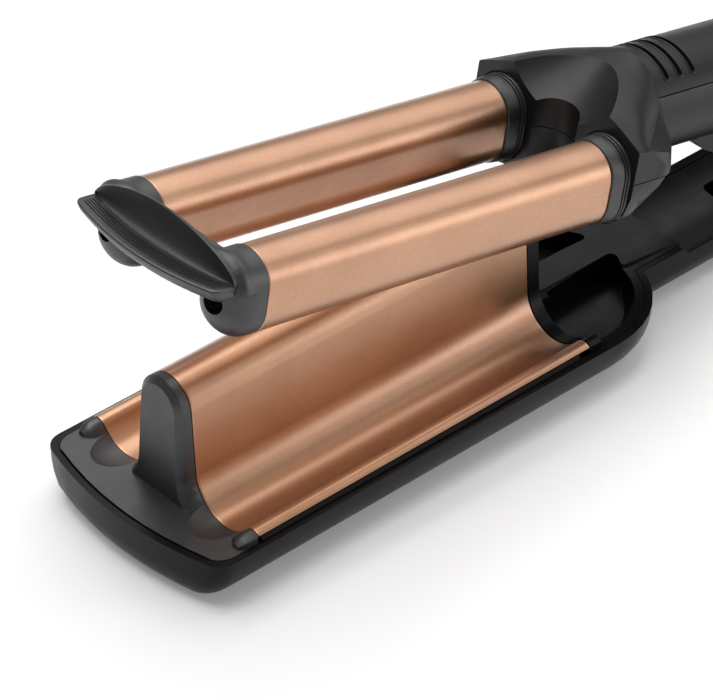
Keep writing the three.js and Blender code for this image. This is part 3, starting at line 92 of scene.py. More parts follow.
# Materials: every one is a small node tree, and all but the floor's end in a Principled shader
class Finish:
    """One material's node tree, with short calls for the nodes that the finishes share."""

    def __init__(self, name):
        self.material = bpy.data.materials.new(name)
        self.material.use_nodes = True
        self.tree = self.material.node_tree
        self.tree.nodes.clear()
        self.output = self.add("ShaderNodeOutputMaterial")
        self.shader = self.add("ShaderNodeBsdfPrincipled")
        self.link(self.shader.outputs[0], self.output.inputs["Surface"])
        self.place = self.add("ShaderNodeTexCoord").outputs["Object"]

    def add(self, kind, **values):
        node = self.tree.nodes.new(kind)
        for key, value in values.items():
            setattr(node, key, value)
        return node

    def link(self, start, end):
        self.tree.links.new(start, end)

    def set(self, **values):
        for key, value in values.items():
            self.shader.inputs[key.replace("_", " ")].default_value = value

    def stretched(self, x, y, z):
        mapping = self.add("ShaderNodeMapping")
        mapping.inputs["Scale"].default_value = (x, y, z)
        self.link(self.place, mapping.inputs["Vector"])
        return mapping.outputs[0]

    def noise(self, scale, detail=3, rough=0.5, place=None):
        node = self.add("ShaderNodeTexNoise")
        node.inputs["Scale"].default_value = scale
        node.inputs["Detail"].default_value = detail
        node.inputs["Roughness"].default_value = rough
        self.link(place or self.place, node.inputs["Vector"])
        return node.outputs["Fac"]

    def spread(self, value, low, high, start=0.3, end=0.7):
        """The value's run from start to end, spread from low to high."""
        node = self.add("ShaderNodeMapRange")
        node.inputs["From Min"].default_value = start
        node.inputs["From Max"].default_value = end
        node.inputs["To Min"].default_value = low
        node.inputs["To Max"].default_value = high
        self.link(value, node.inputs["Value"])
        return node.outputs[0]

    def mixed(self, value, one, two):
        node = self.add("ShaderNodeMix", data_type="RGBA")
        node.inputs["A"].default_value = (*one, 1)
        node.inputs["B"].default_value = (*two, 1)
        self.link(value, node.inputs["Factor"])
        return node.outputs["Result"]

    def bump(self, height, strength, distance):
        node = self.add("ShaderNodeBump")
        node.inputs["Strength"].default_value = strength
        node.inputs["Distance"].default_value = distance
        self.link(height, node.inputs["Height"])
        return node.outputs[0]

    def colour(self, socket):
        self.link(socket, self.shader.inputs["Base Color"])

    def rough(self, socket):
        self.link(socket, self.shader.inputs["Roughness"])

    def normal(self, socket):
        self.link(socket, self.shader.inputs["Normal"])


COPPER_DEEP = (0.438, 0.196, 0.084)
COPPER_LIGHT = (0.582, 0.292, 0.143)
FLAKE_WEIGHT = 0.7
BLACK_PLASTICS = {
    "black_shell": {"dark": (0.004, 0.004, 0.0042), "light": (0.0065, 0.0065, 0.0065),
                    "rough": (0.36, 0.44), "grain": 5200, "depth": 0.05, "gloss": 0.39},
    # A darker copy of black_shell with weaker reflections: painted shade for the lower arm's shells
    "black_polished": {"dark": (0.0022, 0.0022, 0.0023), "light": (0.004, 0.004, 0.004),
                       "rough": (0.27, 0.35), "grain": 5200, "depth": 0.04, "gloss": 0.15},
    "satin_trim": {"dark": (0.006, 0.0065, 0.0072), "light": (0.0105, 0.0112, 0.012),
                   "rough": (0.38, 0.48), "grain": 2300, "depth": 0.42, "gloss": 0.9},
}
METALS = {
    "steel": {"colour": (0.58, 0.58, 0.57), "rough": (0.22, 0.34)},
    "alloy": {"colour": (0.66, 0.66, 0.68), "rough": (0.34, 0.46)},
}
BRUSHED_SHADE = 0.86
RESINS = {
    "ceramic": {"dark": (0.62, 0.60, 0.55), "light": (0.70, 0.68, 0.63), "rough": (0.5, 0.65)},
    "liner_resin": {"dark": (0.020, 0.020, 0.020), "light": (0.030, 0.030, 0.030), "rough": (0.5, 0.62)},
    "board": {"dark": (0.015, 0.10, 0.045), "light": (0.02, 0.13, 0.06), "rough": (0.4, 0.5)},
    "light_window": {"dark": (0.55, 0.53, 0.5), "light": (0.6, 0.58, 0.55), "rough": (0.3, 0.4)},
    "gland_rubber": {"dark": (0.010, 0.010, 0.010), "light": (0.016, 0.016, 0.016), "rough": (0.55, 0.7)},
}


def copper_coating():
    """Satin metallic coating: fine flakes in the colour, a soft gloss and a thin clear coat."""
    finish = Finish("copper_coating")
    flakes = finish.noise(scale=2700, detail=2, rough=0.6)
    cloud = finish.noise(scale=55)
    tone = finish.add("ShaderNodeMath", operation="MULTIPLY_ADD")
    finish.link(flakes, tone.inputs[0])
    tone.inputs[1].default_value = FLAKE_WEIGHT
    finish.link(finish.spread(cloud, low=0.0, high=0.24), tone.inputs[2])
    share = finish.spread(tone.outputs[0], low=0, high=1, start=0.3, end=0.75)
    finish.colour(finish.mixed(share, COPPER_DEEP, COPPER_LIGHT))
    finish.rough(finish.spread(finish.noise(scale=900), low=0.37, high=0.44))
    finish.normal(finish.bump(finish.noise(scale=2600, detail=1), strength=0.2, distance=0.03 * MM))
    finish.set(Metallic=1.0, Coat_Weight=1.0, Coat_Roughness=0.29, Coat_IOR=1.85)
    return finish.material


def black_plastic(name, dark, light, rough, grain, depth, gloss):
    """Moulded plastic: a fine spark-eroded grain, and a slow drift of tone and gloss."""
    finish = Finish(name)
    drift = finish.noise(scale=38)
    finish.colour(finish.mixed(finish.spread(drift, low=0, high=1), dark, light))
    finish.rough(finish.spread(finish.noise(scale=160, detail=4), *rough))
    fine = finish.noise(scale=grain, detail=2, rough=0.6)
    finish.normal(finish.bump(fine, strength=depth, distance=0.05 * MM))
    finish.set(Specular_IOR_Level=gloss)
    return finish.material


def brushed_metal(name, colour, rough):
    """Metal with fine lines along the tool in its tone and gloss."""
    finish = Finish(name)
    lines = finish.noise(scale=60, detail=4, rough=0.6, place=finish.stretched(4, 60, 60))
    shaded = tuple(channel * BRUSHED_SHADE for channel in colour)
    finish.colour(finish.mixed(finish.spread(lines, low=0, high=1), shaded, colour))
    finish.rough(finish.spread(lines, *rough))
    finish.normal(finish.bump(lines, strength=0.1, distance=0.03 * MM))
    finish.set(Metallic=1.0)
    return finish.material


def plain_resin(name, dark, light, rough):
    """A plain matt material with a slight mottle."""
    finish = Finish(name)
    mottle = finish.noise(scale=120, detail=4)
    finish.colour(finish.mixed(finish.spread(mottle, low=0, high=1), dark, light))
    finish.rough(finish.spread(finish.noise(scale=420), *rough))
    finish.normal(finish.bump(finish.noise(scale=3000, detail=2), strength=0.08, distance=0.05 * MM))
    return finish.material


def make_finishes():
    """Every slot's finish by its name, and beside them the black plastic's darker copy, which paints in
    shade.
    """
    made = {"copper_coating": copper_coating()}
    for make, looks in ((black_plastic, BLACK_PLASTICS), (brushed_metal, METALS), (plain_resin, RESINS)):
        for name, look in looks.items():
            made[name] = make(name, **look)
    return made


# Meshes: outlines are lists of points, and solids are skinned over rings of them
def spaced(start, end, steps):
    """Evenly spaced values from start to end, both included."""
    return [start + (end - start) * i / steps for i in range(steps + 1)]


def arc(x, y, radius, start, end, steps):
    turns = spaced(start, end, steps)
    return [(x + radius * math.cos(turn), y + radius * math.sin(turn)) for turn in turns]


def circle(x, y, radius, count):
    return arc(x, y, radius, 0, 2 * math.pi * (count - 1) / count, count - 1)


def bezier(points, steps):
    """A cubic curve's points, all but its first."""
    curve = []
    for t in spaced(0, 1, steps)[1:]:
        weights = ((1 - t) ** 3, 3 * t * (1 - t) ** 2, 3 * t * t * (1 - t), t ** 3)
        curve.append(tuple(sum(w * point[axis] for w, point in zip(weights, points)) for axis in (0, 1)))
    return curve


def through(keys, values, at):
    """A smooth curve through the values at their keys."""
    i = min(max(bisect.bisect_right(keys, at) - 1, 0), len(keys) - 2)
    span = keys[i + 1] - keys[i]
    t = (at - keys[i]) / span

    def slope(j):
        before, after = max(j - 1, 0), min(j + 1, len(keys) - 1)
        return (values[after] - values[before]) / (keys[after] - keys[before]) * span

    start, end = values[i], values[i + 1]
    return (start * (2 * t ** 3 - 3 * t ** 2 + 1) + end * (3 * t ** 2 - 2 * t ** 3)
            + slope(i) * (t ** 3 - 2 * t ** 2 + t) + slope(i + 1) * (t ** 3 - t ** 2))


# Places behind a piece's end, in millimetres, with how far its skin is drawn in there
ROUNDED_END = ((0.0, 0.2), (0.06, 0.06), (0.2, 0.0))


def rounded_ends(length, even_from):
    """Places along a piece with small rounded ends, each with how far its skin is drawn in there."""
    front = [*ROUNDED_END, (even_from, 0.0)]
    return front + [(length - along, inset) for along, inset in reversed(front)]


@contextlib.contextmanager
def edited(mesh, source=None):
    """A mesh, or what its source holds, opened for edits that are stored in the mesh at the end."""
    bm = bmesh.new()
    bm.from_mesh(source or mesh)
    yield bm
    bm.to_mesh(mesh)
    bm.free()


def ring_mesh(name, rings, closed=True):
    """A mesh skinned over rings of equal length; a closed one joins the last ring to the first."""
    count = len(rings[0])
    points = [point for ring in rings for point in ring]
    faces = []
    spans = len(rings) if closed else len(rings) - 1
    for r in range(spans):
        here, there = r * count, ((r + 1) % len(rings)) * count
        for i in range(count):
            j = (i + 1) % count
            faces.append((here + i, here + j, there + j, there + i))
    mesh = bpy.data.meshes.new(name)
    mesh.from_pydata(points, [], faces)
    with edited(mesh) as bm:
        bmesh.ops.recalc_face_normals(bm, faces=bm.faces)
        for face in bm.faces:
            face.smooth = True
    return mesh


def closed_loft(name, rings):
    """A solid skinned over rings, with flat ends."""
    mesh = ring_mesh(name, rings, closed=False)
    with edited(mesh) as bm:
        bmesh.ops.holes_fill(bm, edges=[edge for edge in bm.edges if edge.is_boundary])
        bmesh.ops.recalc_face_normals(bm, faces=bm.faces)
    return mesh


def carve(mesh, cutters):
    """The mesh less the cutters."""
    body = new_object("carve_body", mesh)
    spent = [body]
    for index, tool in enumerate(cutters):
        cutter = new_object(f"carve_tool_{index}", tool)
        cut = body.modifiers.new(f"cut_{index}", "BOOLEAN")
        cut.operation = "DIFFERENCE"
        cut.solver = "EXACT"
        cut.object = cutter
        spent.append(cutter)
    result = bpy.data.meshes.new_from_object(body.evaluated_get(bpy.context.evaluated_depsgraph_get()))
    for thing in spent:
        old = thing.data
        bpy.data.objects.remove(thing)
        bpy.data.meshes.remove(old)
    return result


def keep_crisp(bm, limit):
    """Edges sharper than the limit, in degrees, stay crisp under smooth shading."""
    for edge in bm.edges:
        edge.smooth = len(edge.link_faces) == 2 and edge.calc_face_angle(0) < math.radians(limit)


def shade_by_angle(mesh, limit):
    """Smooth faces with the edges sharper than the limit kept crisp."""
    with edited(mesh) as bm:
        for face in bm.faces:
            face.smooth = True
        keep_crisp(bm, limit)


# Pieces: each rides a body, and most stand in for a CAD solid
BEVEL_STEPS = 2
# From here on, sizes are in millimetres and angles in degrees
SKIN = Sizes(edge=0.25, crease=32, weld=0.002, flat=0.6)
# The lower arm's shells take a darker, smoother copy of the black plastic with weaker reflections: painted
# shade for the shade they lie in under the upper arm
SHADED_SHELLS = ("lower_housing", "handle_cover", "rear_insert")


def soften(piece, width, crease):
    """Rounds a piece's edges that are sharper than the crease."""
    bevel = piece.modifiers.new("edges", "BEVEL")
    bevel.width = width * MM
    bevel.segments = BEVEL_STEPS
    bevel.limit_method = "ANGLE"
    bevel.angle_limit = math.radians(crease)
    bevel.harden_normals = True


def add_piece(name, mesh, slot, body, *nodes, finish=None):
    """A piece in its slot's finish, or in one of its own, in place of the CAD solids named."""
    piece = new_object(name, mesh)
    mesh.materials.append(finishes[finish or slot])
    if nodes:
        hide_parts(*nodes)
    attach(piece, body)
    return piece


def welded(node):
    """A copy of a CAD solid's mesh, joined up and with its flats made whole."""
    mesh = bpy.data.meshes.new(node + "_skin")
    with edited(mesh, frame["nodes"][node].data) as bm:
        bmesh.ops.remove_doubles(bm, verts=bm.verts, dist=SKIN.weld * MM)
        bmesh.ops.dissolve_limit(bm, angle_limit=math.radians(SKIN.flat), verts=bm.verts, edges=bm.edges)
        bmesh.ops.recalc_face_normals(bm, faces=bm.faces)
    return mesh


def dress(node, slot, mesh=None):
    """A skin in place of a CAD solid, its own or the mesh given, with its sharp edges rounded."""
    mesh = mesh or welded(node)
    shade_by_angle(mesh, SKIN.crease)
    body = frame["nodes"][node]["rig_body"]
    # The lower arm's shells get the darker copy, which paints in their shade
    finish = "black_polished" if node in SHADED_SHELLS else slot
    piece = add_piece(node + "_skin", mesh, slot, body, node, finish=finish)
    soften(piece, SKIN.edge, SKIN.crease)


# Places on the arms
ARM_HINGE = next(joint for joint in frame["joints"] if joint["name"] == "arm_hinge")
HINGE = Vector(ARM_HINGE["pos_m"])
OPEN = math.radians(-ARM_HINGE["range_deg"][0])
# In millimetres from the hinge to the barrels' front, and up to the centres of their top arcs
ARM_FRONT = -294.3
ARM_UP = 11.8
# In millimetres from the frame's origin to the plate's front
PLATE_FRONT = -148.9


def arm_point(along, across, up):
    """A point of the open upper arm: along from the barrels' front, up from their top arcs' centres."""
    x, z = (ARM_FRONT + along) * MM, (ARM_UP + up) * MM
    level, rise = math.cos(OPEN), math.sin(OPEN)
    return HINGE + Vector((x * level + z * rise, across * MM, z * level - x * rise))


def base_point(x, y, z):
    """A point of the lower arm: x from the front of the plate, z from the floor."""
    return Vector(((PLATE_FRONT + x) * MM, y * MM, z * MM))


# Barrels and their collars
BARREL = Sizes(radius=8.7, drop=5.9, length=121.6, pitch=20.0, wall=1.0, even_from=0.6,
               bore_chamfer=0.3, bore_flare=0.1, steps=56)
# Places behind the barrel's end, with the radius of the collar's skin there
COLLAR_PROFILE = (
    # The wide flared band
    (0.08, 8.5), (0.08, 8.85), (0.3, 9.1), (2.0, 9.35), (4.1, 9.5),
    # Two thin grooves with a land between them
    (4.25, 9.42), (4.35, 9.12), (4.65, 9.12), (4.75, 9.5),
    (4.9, 9.58), (5.2, 9.58), (5.3, 9.25), (5.6, 9.25), (5.7, 9.62),
    # The seat in the fork's socket
    (5.85, 9.7), (6.5, 9.8), (11.1, 9.8), (11.1, 8.5),
)
COLLAR_CREASE = 24


def oval_outline(side, radius):
    """A barrel's section at this radius, as places across and up."""
    middle = side * BARREL.pitch
    top = arc(middle, 0.0, radius, 0.0, math.pi, BARREL.steps)
    low = arc(middle, -BARREL.drop, radius, math.pi, 2 * math.pi, BARREL.steps)
    return top + low


def oval(side, along, radius):
    return [arm_point(along, across, up) for across, up in oval_outline(side, radius)]


def make_barrel(side, label):
    """A hollow oval barrel with finely rounded ends, smooth where the CAD solid has flats."""
    inner, end = BARREL.radius - BARREL.wall, BARREL.length
    chamfer, flare = BARREL.bore_chamfer, BARREL.bore_flare
    outside = [(along, BARREL.radius - inset) for along, inset in rounded_ends(end, BARREL.even_from)]
    inside = [(end, inner + flare), (end - chamfer, inner), (chamfer, inner), (0.0, inner + flare)]
    rings = [oval(side, along, radius) for along, radius in outside + inside]
    mesh = ring_mesh(f"barrel_{label}_skin", rings)
    add_piece(f"barrel_{label}_skin", mesh, "copper_coating", "upper_arm", f"barrel_{label}")


def make_collar(side, label):
    """A heatproof ring: a wide flared band, then two thin grooves before the fork."""
    rings = [oval(side, BARREL.length + behind, radius) for behind, radius in COLLAR_PROFILE]
    mesh = ring_mesh(f"collar_{label}_skin", rings)
    shade_by_angle(mesh, COLLAR_CREASE)
    add_piece(f"collar_{label}_skin", mesh, "satin_trim", "upper_arm", f"collar_{label}")


# The waved plate
PLATE = Sizes(length=118.0, thickness=1.2, pitch=BARREL.pitch, ridge_z=41.6, ridge_radius=8.3,
              valley_z=23.0, valley_radius=10.9, rise=53.5, lip_radius=3.2, lip_end=46.0,
              even_from=0.7, ridge_steps=28, valley_steps=44, lip_steps=14, crease=40)


def wave_path(depth):
    """The plate's section from lip to lip, this far under its top surface."""
    climb = PLATE.ridge_z - PLATE.valley_z
    reach = math.hypot(PLATE.pitch, climb)
    lean = math.atan2(PLATE.pitch, climb) - math.asin((PLATE.ridge_radius + PLATE.valley_radius) / reach)
    turn = math.pi * 1.5 + math.radians(PLATE.rise)
    lip_y = PLATE.pitch + (PLATE.valley_radius + PLATE.lip_radius) * math.cos(turn)
    lip_z = PLATE.valley_z + (PLATE.valley_radius + PLATE.lip_radius) * math.sin(turn)
    lip_end = math.radians(PLATE.lip_end)
    valley_radius = PLATE.valley_radius + depth
    ridge = arc(0, PLATE.ridge_z, PLATE.ridge_radius - depth, math.pi / 2, lean, PLATE.ridge_steps)
    valley = arc(PLATE.pitch, PLATE.valley_z, valley_radius, math.pi + lean, turn, PLATE.valley_steps)
    lip = arc(lip_y, lip_z, PLATE.lip_radius - depth, turn - math.pi, lip_end, PLATE.lip_steps)
    half = ridge[1:] + valley + lip[1:]
    return [(-y, z) for y, z in reversed(half)] + [ridge[0]] + half


def make_plate():
    """The waved plate: one sheet, its edges slightly rounded."""
    rings = []
    for x, inset in rounded_ends(PLATE.length, PLATE.even_from):
        section = wave_path(inset) + wave_path(PLATE.thickness - inset)[::-1]
        rings.append([base_point(x, y, z) for y, z in section])
    mesh = closed_loft("wave_plate_skin", rings)
    with edited(mesh) as bm:
        bmesh.ops.triangulate(bm, faces=[face for face in bm.faces if len(face.verts) > 4])
        keep_crisp(bm, PLATE.crease)
    add_piece("wave_plate_skin", mesh, "copper_coating", "lower_arm", "wave_plate")


# The inserts before and behind the plate
NOSE = Sizes(seam=0.38, top=15.1, middle=-8.0, rim_slack=0.3, wall_height=1.5)
# Limits on a wall's normal: how far it may lean up or down, and turn toward the plate
UPRIGHT = 0.05
REARWARD = 0.9
BASIN = Sizes(floor=8.5, above=20.0,
              corner=((128.2, 6.0), (152.6, 4.7), (153.9, 5.0), (154.6, 5.9),
                      (154.6, 7.2), (151.5, 13.0), (146.0, 18.0), (128.2, 12.5)))


def is_outer_wall(face, middle):
    """Whether a face runs down from the insert's rim, faces outward and isn't against the plate."""
    heights = [vert.co.z - middle.z for vert in face.verts]
    outward = face.normal.dot(face.calc_center_median() - middle) > 0 and face.normal.x < REARWARD
    from_rim = abs(max(heights)) < NOSE.rim_slack * MM and min(heights) < -NOSE.wall_height * MM
    return outward and from_rim and abs(face.normal.z) < UPRIGHT


def make_front_insert():
    """The nose's insert, drawn in from its rim so that a dark seam runs round it."""
    mesh = welded("front_insert")
    middle = base_point(NOSE.middle, 0, NOSE.top)
    with edited(mesh) as bm:
        moves = {}
        for face in bm.faces:
            if is_outer_wall(face, middle):
                for vert in face.verts:
                    moves.setdefault(vert, Vector()).xy += face.normal.xy
        for vert, push in moves.items():
            vert.co -= push.normalized() * NOSE.seam * MM
    dress("front_insert", "satin_trim", mesh)


def make_rear_insert():
    """The insert behind the plate, its basins run back into the corners beside the deck."""
    cutters = []
    for side in (-1, 1):
        rings = [[base_point(x, side * y, z) for x, y in BASIN.corner] for z in (BASIN.floor, BASIN.above)]
        cutters.append(closed_loft("basin_corner", rings))
    dress("rear_insert", "black_shell", carve(welded("rear_insert"), cutters))


# The fork's upper shell
FORK = Sizes(front=BARREL.length + 6.4, length=25.2, part=-0.3, steps=44, crown_steps=28,
             weld=0.01, crease=11, edge=0.2)
# Station by station behind the fork's front face: the parting line, the edge of the side
# facet, its shoulder, the crease, and on to the crown
FORK_ROWS = (
    (0.0, ((31, -0.3), (31, 9), (30.8, 9.3), (30.5, 9.6),
           (25, 12), (18.5, 14.4), (10, 15.4), (0, 15.8))),
    (3.8, ((31, -0.3), (31, 8.7), (30.8, 8.95), (30.4, 9.2),
           (25, 12.5), (18.5, 15.2), (10, 16.4), (0, 16.8))),
    (8.0, ((31, -0.3), (31, 6.2), (29.9, 7.5), (27.4, 8.9),
           (23.6, 12.9), (18, 15.9), (10, 17.3), (0, 17.6))),
    (12.7, ((31, -0.3), (30.9, 2.4), (29.2, 5.8), (23.9, 8.6),
            (20.8, 13.2), (16.4, 16.4), (9.3, 17.9), (0, 18.3))),
    (17.0, ((28.6, -0.3), (28.5, 0.6), (27.6, 4.6), (20.6, 8.8),
            (18.2, 13.5), (14.4, 16.8), (8.1, 18.4), (0, 18.9))),
    (21.5, ((23.0, -0.3), (23.1, 0.8), (22.6, 5.6), (17.0, 10.3),
            (15.4, 13.8), (12.1, 16.9), (6.8, 18.9), (0, 19.5))),
    (25.2, ((15.16, -0.3), (15.5, 1.0), (15.7, 6.5), (14.0, 11.74),
            (11.5, 15.2), (8.16, 17.9), (4.24, 19.57), (0, 20.15))),
)
# Each row's points before the crease
FLANK_POINTS = 3
# The dish narrows and climbs with each millimetre behind the front face
DISH = Sizes(radius=24.3, narrowing=0.82, low=6.0, climb=0.53, upturn=0.015, swing=71.0,
             start=-1.0, end=19.0, lid=9, steps=40, floor_steps=72)
CAVE = Sizes(half_width=8.0, depth=5.0, below=-12, above=45, steps=120)
SOCKET = Sizes(radius=10.1, start=-1, end=5)


def mirrored(points):
    """The points on the arm's other side, from the last to the first."""
    return [Vector((-point.x, point.y)) for point in reversed(points)]


def fork_section(behind):
    """The upper shell's section from side to side, its crown spaced evenly from crease to crease."""
    keys, outlines = zip(*FORK_ROWS)
    half = [through(keys, [Vector(point) for point in track], behind) for track in zip(*outlines)]
    half[0].y = FORK.part
    flank, bent = half[:FLANK_POINTS], half[FLANK_POINTS:]
    whole = bent + mirrored(bent[:-1])
    lengths = [0.0]
    for before, after in zip(whole, whole[1:]):
        lengths.append(lengths[-1] + (after - before).length)
    crown = [through(lengths, whole, at) for at in spaced(0, lengths[-1], 2 * FORK.crown_steps)]
    return [arm_point(FORK.front + behind, point.x, point.y) for point in flank + crown + mirrored(flank)]


def dish_section(behind):
    """The crown's dish: a round floor that narrows and climbs toward the handle, open above."""
    radius = DISH.radius - DISH.narrowing * behind
    centre = DISH.low + DISH.climb * behind + DISH.upturn * behind * behind + radius
    swing = math.radians(DISH.swing)
    floor = arc(0, centre, radius, -math.pi / 2 - swing, -math.pi / 2 + swing, DISH.floor_steps)
    outline = floor + [(radius, centre + DISH.lid), (-radius, centre + DISH.lid)]
    return [arm_point(FORK.front + behind, across, up) for across, up in outline]


def cave_section(up):
    """The scallop between the collars: a circle that cuts this wide and deep into the front."""
    radius = (CAVE.half_width ** 2 + CAVE.depth ** 2) / (2 * CAVE.depth)
    centre = FORK.front + CAVE.depth - radius
    return [arm_point(along, across, up) for along, across in circle(centre, 0, radius, CAVE.steps)]


def make_fork_top():
    """The fork's upper shell: smooth crown and flanks, a broad dish, a scallop and two sockets."""
    stations = spaced(0, FORK.length, FORK.steps)
    outer = closed_loft("fork_outer", [fork_section(behind) for behind in stations])
    dish = [dish_section(behind) for behind in spaced(DISH.start, DISH.end, DISH.steps)]
    cave = [cave_section(up) for up in (CAVE.below, CAVE.above)]
    cutters = [closed_loft("dish", dish), closed_loft("cave", cave)]
    for side in (-1, 1):
        socket = [oval(side, FORK.front + behind, SOCKET.radius) for behind in (SOCKET.start, SOCKET.end)]
        cutters.append(closed_loft("socket", socket))
    mesh = carve(outer, cutters)
    with edited(mesh) as bm:
        bmesh.ops.remove_doubles(bm, verts=bm.verts, dist=FORK.weld * MM)
    shade_by_angle(mesh, FORK.crease)
    piece = add_piece("fork_top_skin", mesh, "black_shell", "upper_arm", "fork_top")
    soften(piece, FORK.edge, FORK.crease)


# The barrels' caps, each with a saddle over its upper half
CAP = Sizes(reach=11.9, straight=2.5, dome_steps=26, crease=30, edge=0.2)
# Where a cap's rings stand before its dome, with their shares of the barrel's section
CAP_FOOT = ((-0.2, 0.6), (-0.2, 0.985), (-0.35, 1.0), (-0.8, 1.0))
SCREW_HOLE = Sizes(across=21.0, up=-3.3, radius=3.1, depth=8.0, start=-3, steps=48)
# Places before the barrel, with the radius of the saddle's skin there
SADDLE_PROFILE = ((-0.15, 8.4), (-0.15, 8.9), (-0.3, 9.02), (-3.6, 9.02), (-4.8, 9.08), (-6.0, 9.28),
                  (-7.3, 9.62), (-8.6, 9.4), (-9.8, 8.7), (-10.4, 7.4), (-10.5, 6.0))
SADDLE = Sizes(start=11.0, steps=60, crease=30, edge=0.15)


def cap_ring(side, along, share):
    """The barrel's section drawn in to a share of itself."""
    middle, height = side * BARREL.pitch, -BARREL.drop / 2
    return [arm_point(along, middle + (across - middle) * share, height + (up - height) * share)
            for across, up in oval_outline(side, BARREL.radius)]


def make_cap(side, label):
    """A rounded cap on a barrel, with a screw hole. The near one stands in for the tip's solid."""
    span = CAP.reach - CAP.straight
    rings = [cap_ring(side, along, share) for along, share in CAP_FOOT]
    for turn in spaced(0, math.pi / 2, CAP.dome_steps)[:-1]:
        rings.append(cap_ring(side, -CAP.straight - span * math.sin(turn), math.cos(turn)))
    outline = circle(side * SCREW_HOLE.across, SCREW_HOLE.up, SCREW_HOLE.radius, SCREW_HOLE.steps)
    hole = [[arm_point(-CAP.reach + behind, across, up) for across, up in outline]
            for behind in (SCREW_HOLE.start, SCREW_HOLE.depth)]
    mesh = carve(closed_loft("cap", rings), [closed_loft("hole", hole)])
    shade_by_angle(mesh, CAP.crease)
    stood_for = ["tip_bridge"] if side < 0 else []
    piece = add_piece(f"cap_{label}", mesh, "satin_trim", "upper_arm", *stood_for)
    soften(piece, CAP.edge, CAP.crease)


def make_saddle(side, label):
    """A shell over a cap's upper half, which swells to a brow and rounds down before it."""
    start = math.radians(SADDLE.start)
    rings = []
    for along, radius in SADDLE_PROFILE:
        outline = arc(side * BARREL.pitch, 0.0, radius, start, math.pi - start, SADDLE.steps)
        rings.append([arm_point(along, across, up) for across, up in outline])
    mesh = closed_loft("saddle", rings)
    shade_by_angle(mesh, SADDLE.crease)
    piece = add_piece(f"saddle_{label}", mesh, "satin_trim", "upper_arm")
    soften(piece, SADDLE.edge, SADDLE.crease)


# The thumb rest
# The sizes are those of its middle, and a bow or a lift is what its ends add
REST = Sizes(half_width=27.2, front=-20.6, front_bow=3.6, rear=-13.8, rear_bow=3.5, ledge=3.2,
             ledge_lift=1.0, thick=4.2, end_thick=1.7, corner=0.93, corner_draw=1.5, corner_drop=0.25,
             middle_steps=48, inside_corner=0.998, crease=34)
CREST = Sizes(at=-12.2, bow=1.4, top=13.75, low=0.1, power=0.62, width=0.45, rise=0.03)
# The crest's back slope, down to the barrels
BACK = Sizes(at=-7.3, top=9.7, least=0.3, crest_run=1.6, crest_drop=0.1, foot_run=1.8, foot_rise=0.35,
             steps=8)
SCOOP = Sizes(foot_run=2.6, foot_rise=0.4, crest_run=2.9, crest_share=0.36, steps=18)
LINES = Sizes(count=4, start=2.5, start_bow=0.25, pitch=1.02, pitch_bow=0.2, width=0.34, depth=0.3,
              floor_share=0.5)
# The ledge's rounded front: places behind its tip, with depths as shares of the ledge's thickness
REST_NOSE = ((3.6, 1.0), (2.2, 0.88), (0.9, 0.55), (0.25, 0.286),
             (0.0, 0.143), (0.12, 0.06), (0.4, 0.012), (0.7, 0.0))
# Stations over a rounded corner, as shares of it
CORNER_STATIONS = (0.0, 0.2, 0.4, 0.6, 0.75, 0.87, 0.95, 0.985, 1.0)


def fine_lines(front, ledge, bow, depth):
    """The grooves along the ledge, closer to each other toward its ends."""
    start = front + LINES.start * (1 - LINES.start_bow * bow)
    pitch = LINES.pitch * (1 - LINES.pitch_bow * bow)
    half = LINES.width / 2
    floor = half * LINES.floor_share
    outline = []
    for i in range(LINES.count):
        at = start + pitch * i
        outline += [(at - half, ledge), (at - floor, ledge - depth),
                    (at + floor, ledge - depth), (at + half, ledge)]
    return outline


def rest_section(station):
    """The thumb rest's profile at a station from its middle, -1 to 1."""
    off = abs(station)
    bow = off * off
    bend = max(math.cos(off * math.pi / 2), 0.0)
    beyond_corner = max(off - REST.corner, 0.0) / (1 - REST.corner)
    rounding = 1 - math.sqrt(max(1 - beyond_corner * beyond_corner, 0.0))
    front = REST.front + REST.front_bow * bow + REST.corner_draw * rounding
    rear = REST.rear + REST.rear_bow * bow
    ledge = REST.ledge + REST.ledge_lift * bow - REST.corner_drop * rounding
    thick = REST.thick + (REST.end_thick - REST.thick) * rounding
    crest = ledge + CREST.low + (CREST.top - REST.ledge - CREST.low) * bend ** CREST.power
    crest_at = CREST.at + CREST.bow * bow
    beyond_barrel = max(off * REST.half_width - BARREL.pitch, 0.0)
    back = max(math.sqrt(max(BACK.top ** 2 - beyond_barrel ** 2, 0.0)), ledge - thick + BACK.least)

    nose = [(front + along, ledge - thick * share) for along, share in REST_NOSE]
    lines = fine_lines(front, ledge, bow, LINES.depth if off < REST.corner else 0.0)
    scoop = bezier([(rear, ledge),
                    (rear + SCOOP.foot_run * bend, ledge + SCOOP.foot_rise),
                    (crest_at + SCOOP.crest_run * bend, ledge + SCOOP.crest_share * (crest - ledge)),
                    (crest_at, crest)], SCOOP.steps)
    crest_end = (crest_at + CREST.width, crest + CREST.rise)
    slope = bezier([crest_end,
                    (crest_at + BACK.crest_run, crest - BACK.crest_drop),
                    (BACK.at - BACK.foot_run, back + BACK.foot_rise),
                    (BACK.at, back)], BACK.steps)
    outline = nose + lines + [(rear, ledge)] + scoop + [crest_end] + slope + [(BACK.at, ledge - thick)]
    return [arm_point(along, station * REST.half_width, up) for along, up in outline]


def make_thumb_rest():
    """The ledge with its fine lines, the scoop behind them and the crest that bridges the caps."""
    middle = [REST.corner * REST.inside_corner * part for part in spaced(-1, 1, REST.middle_steps)]
    corner = [REST.corner + (1 - REST.corner) * share for share in CORNER_STATIONS]
    stations = [-place for place in reversed(corner)] + middle + corner
    mesh = closed_loft("thumb_rest", [rest_section(station) for station in stations])
    shade_by_angle(mesh, REST.crease)
    add_piece("thumb_rest", mesh, "satin_trim", "upper_arm")


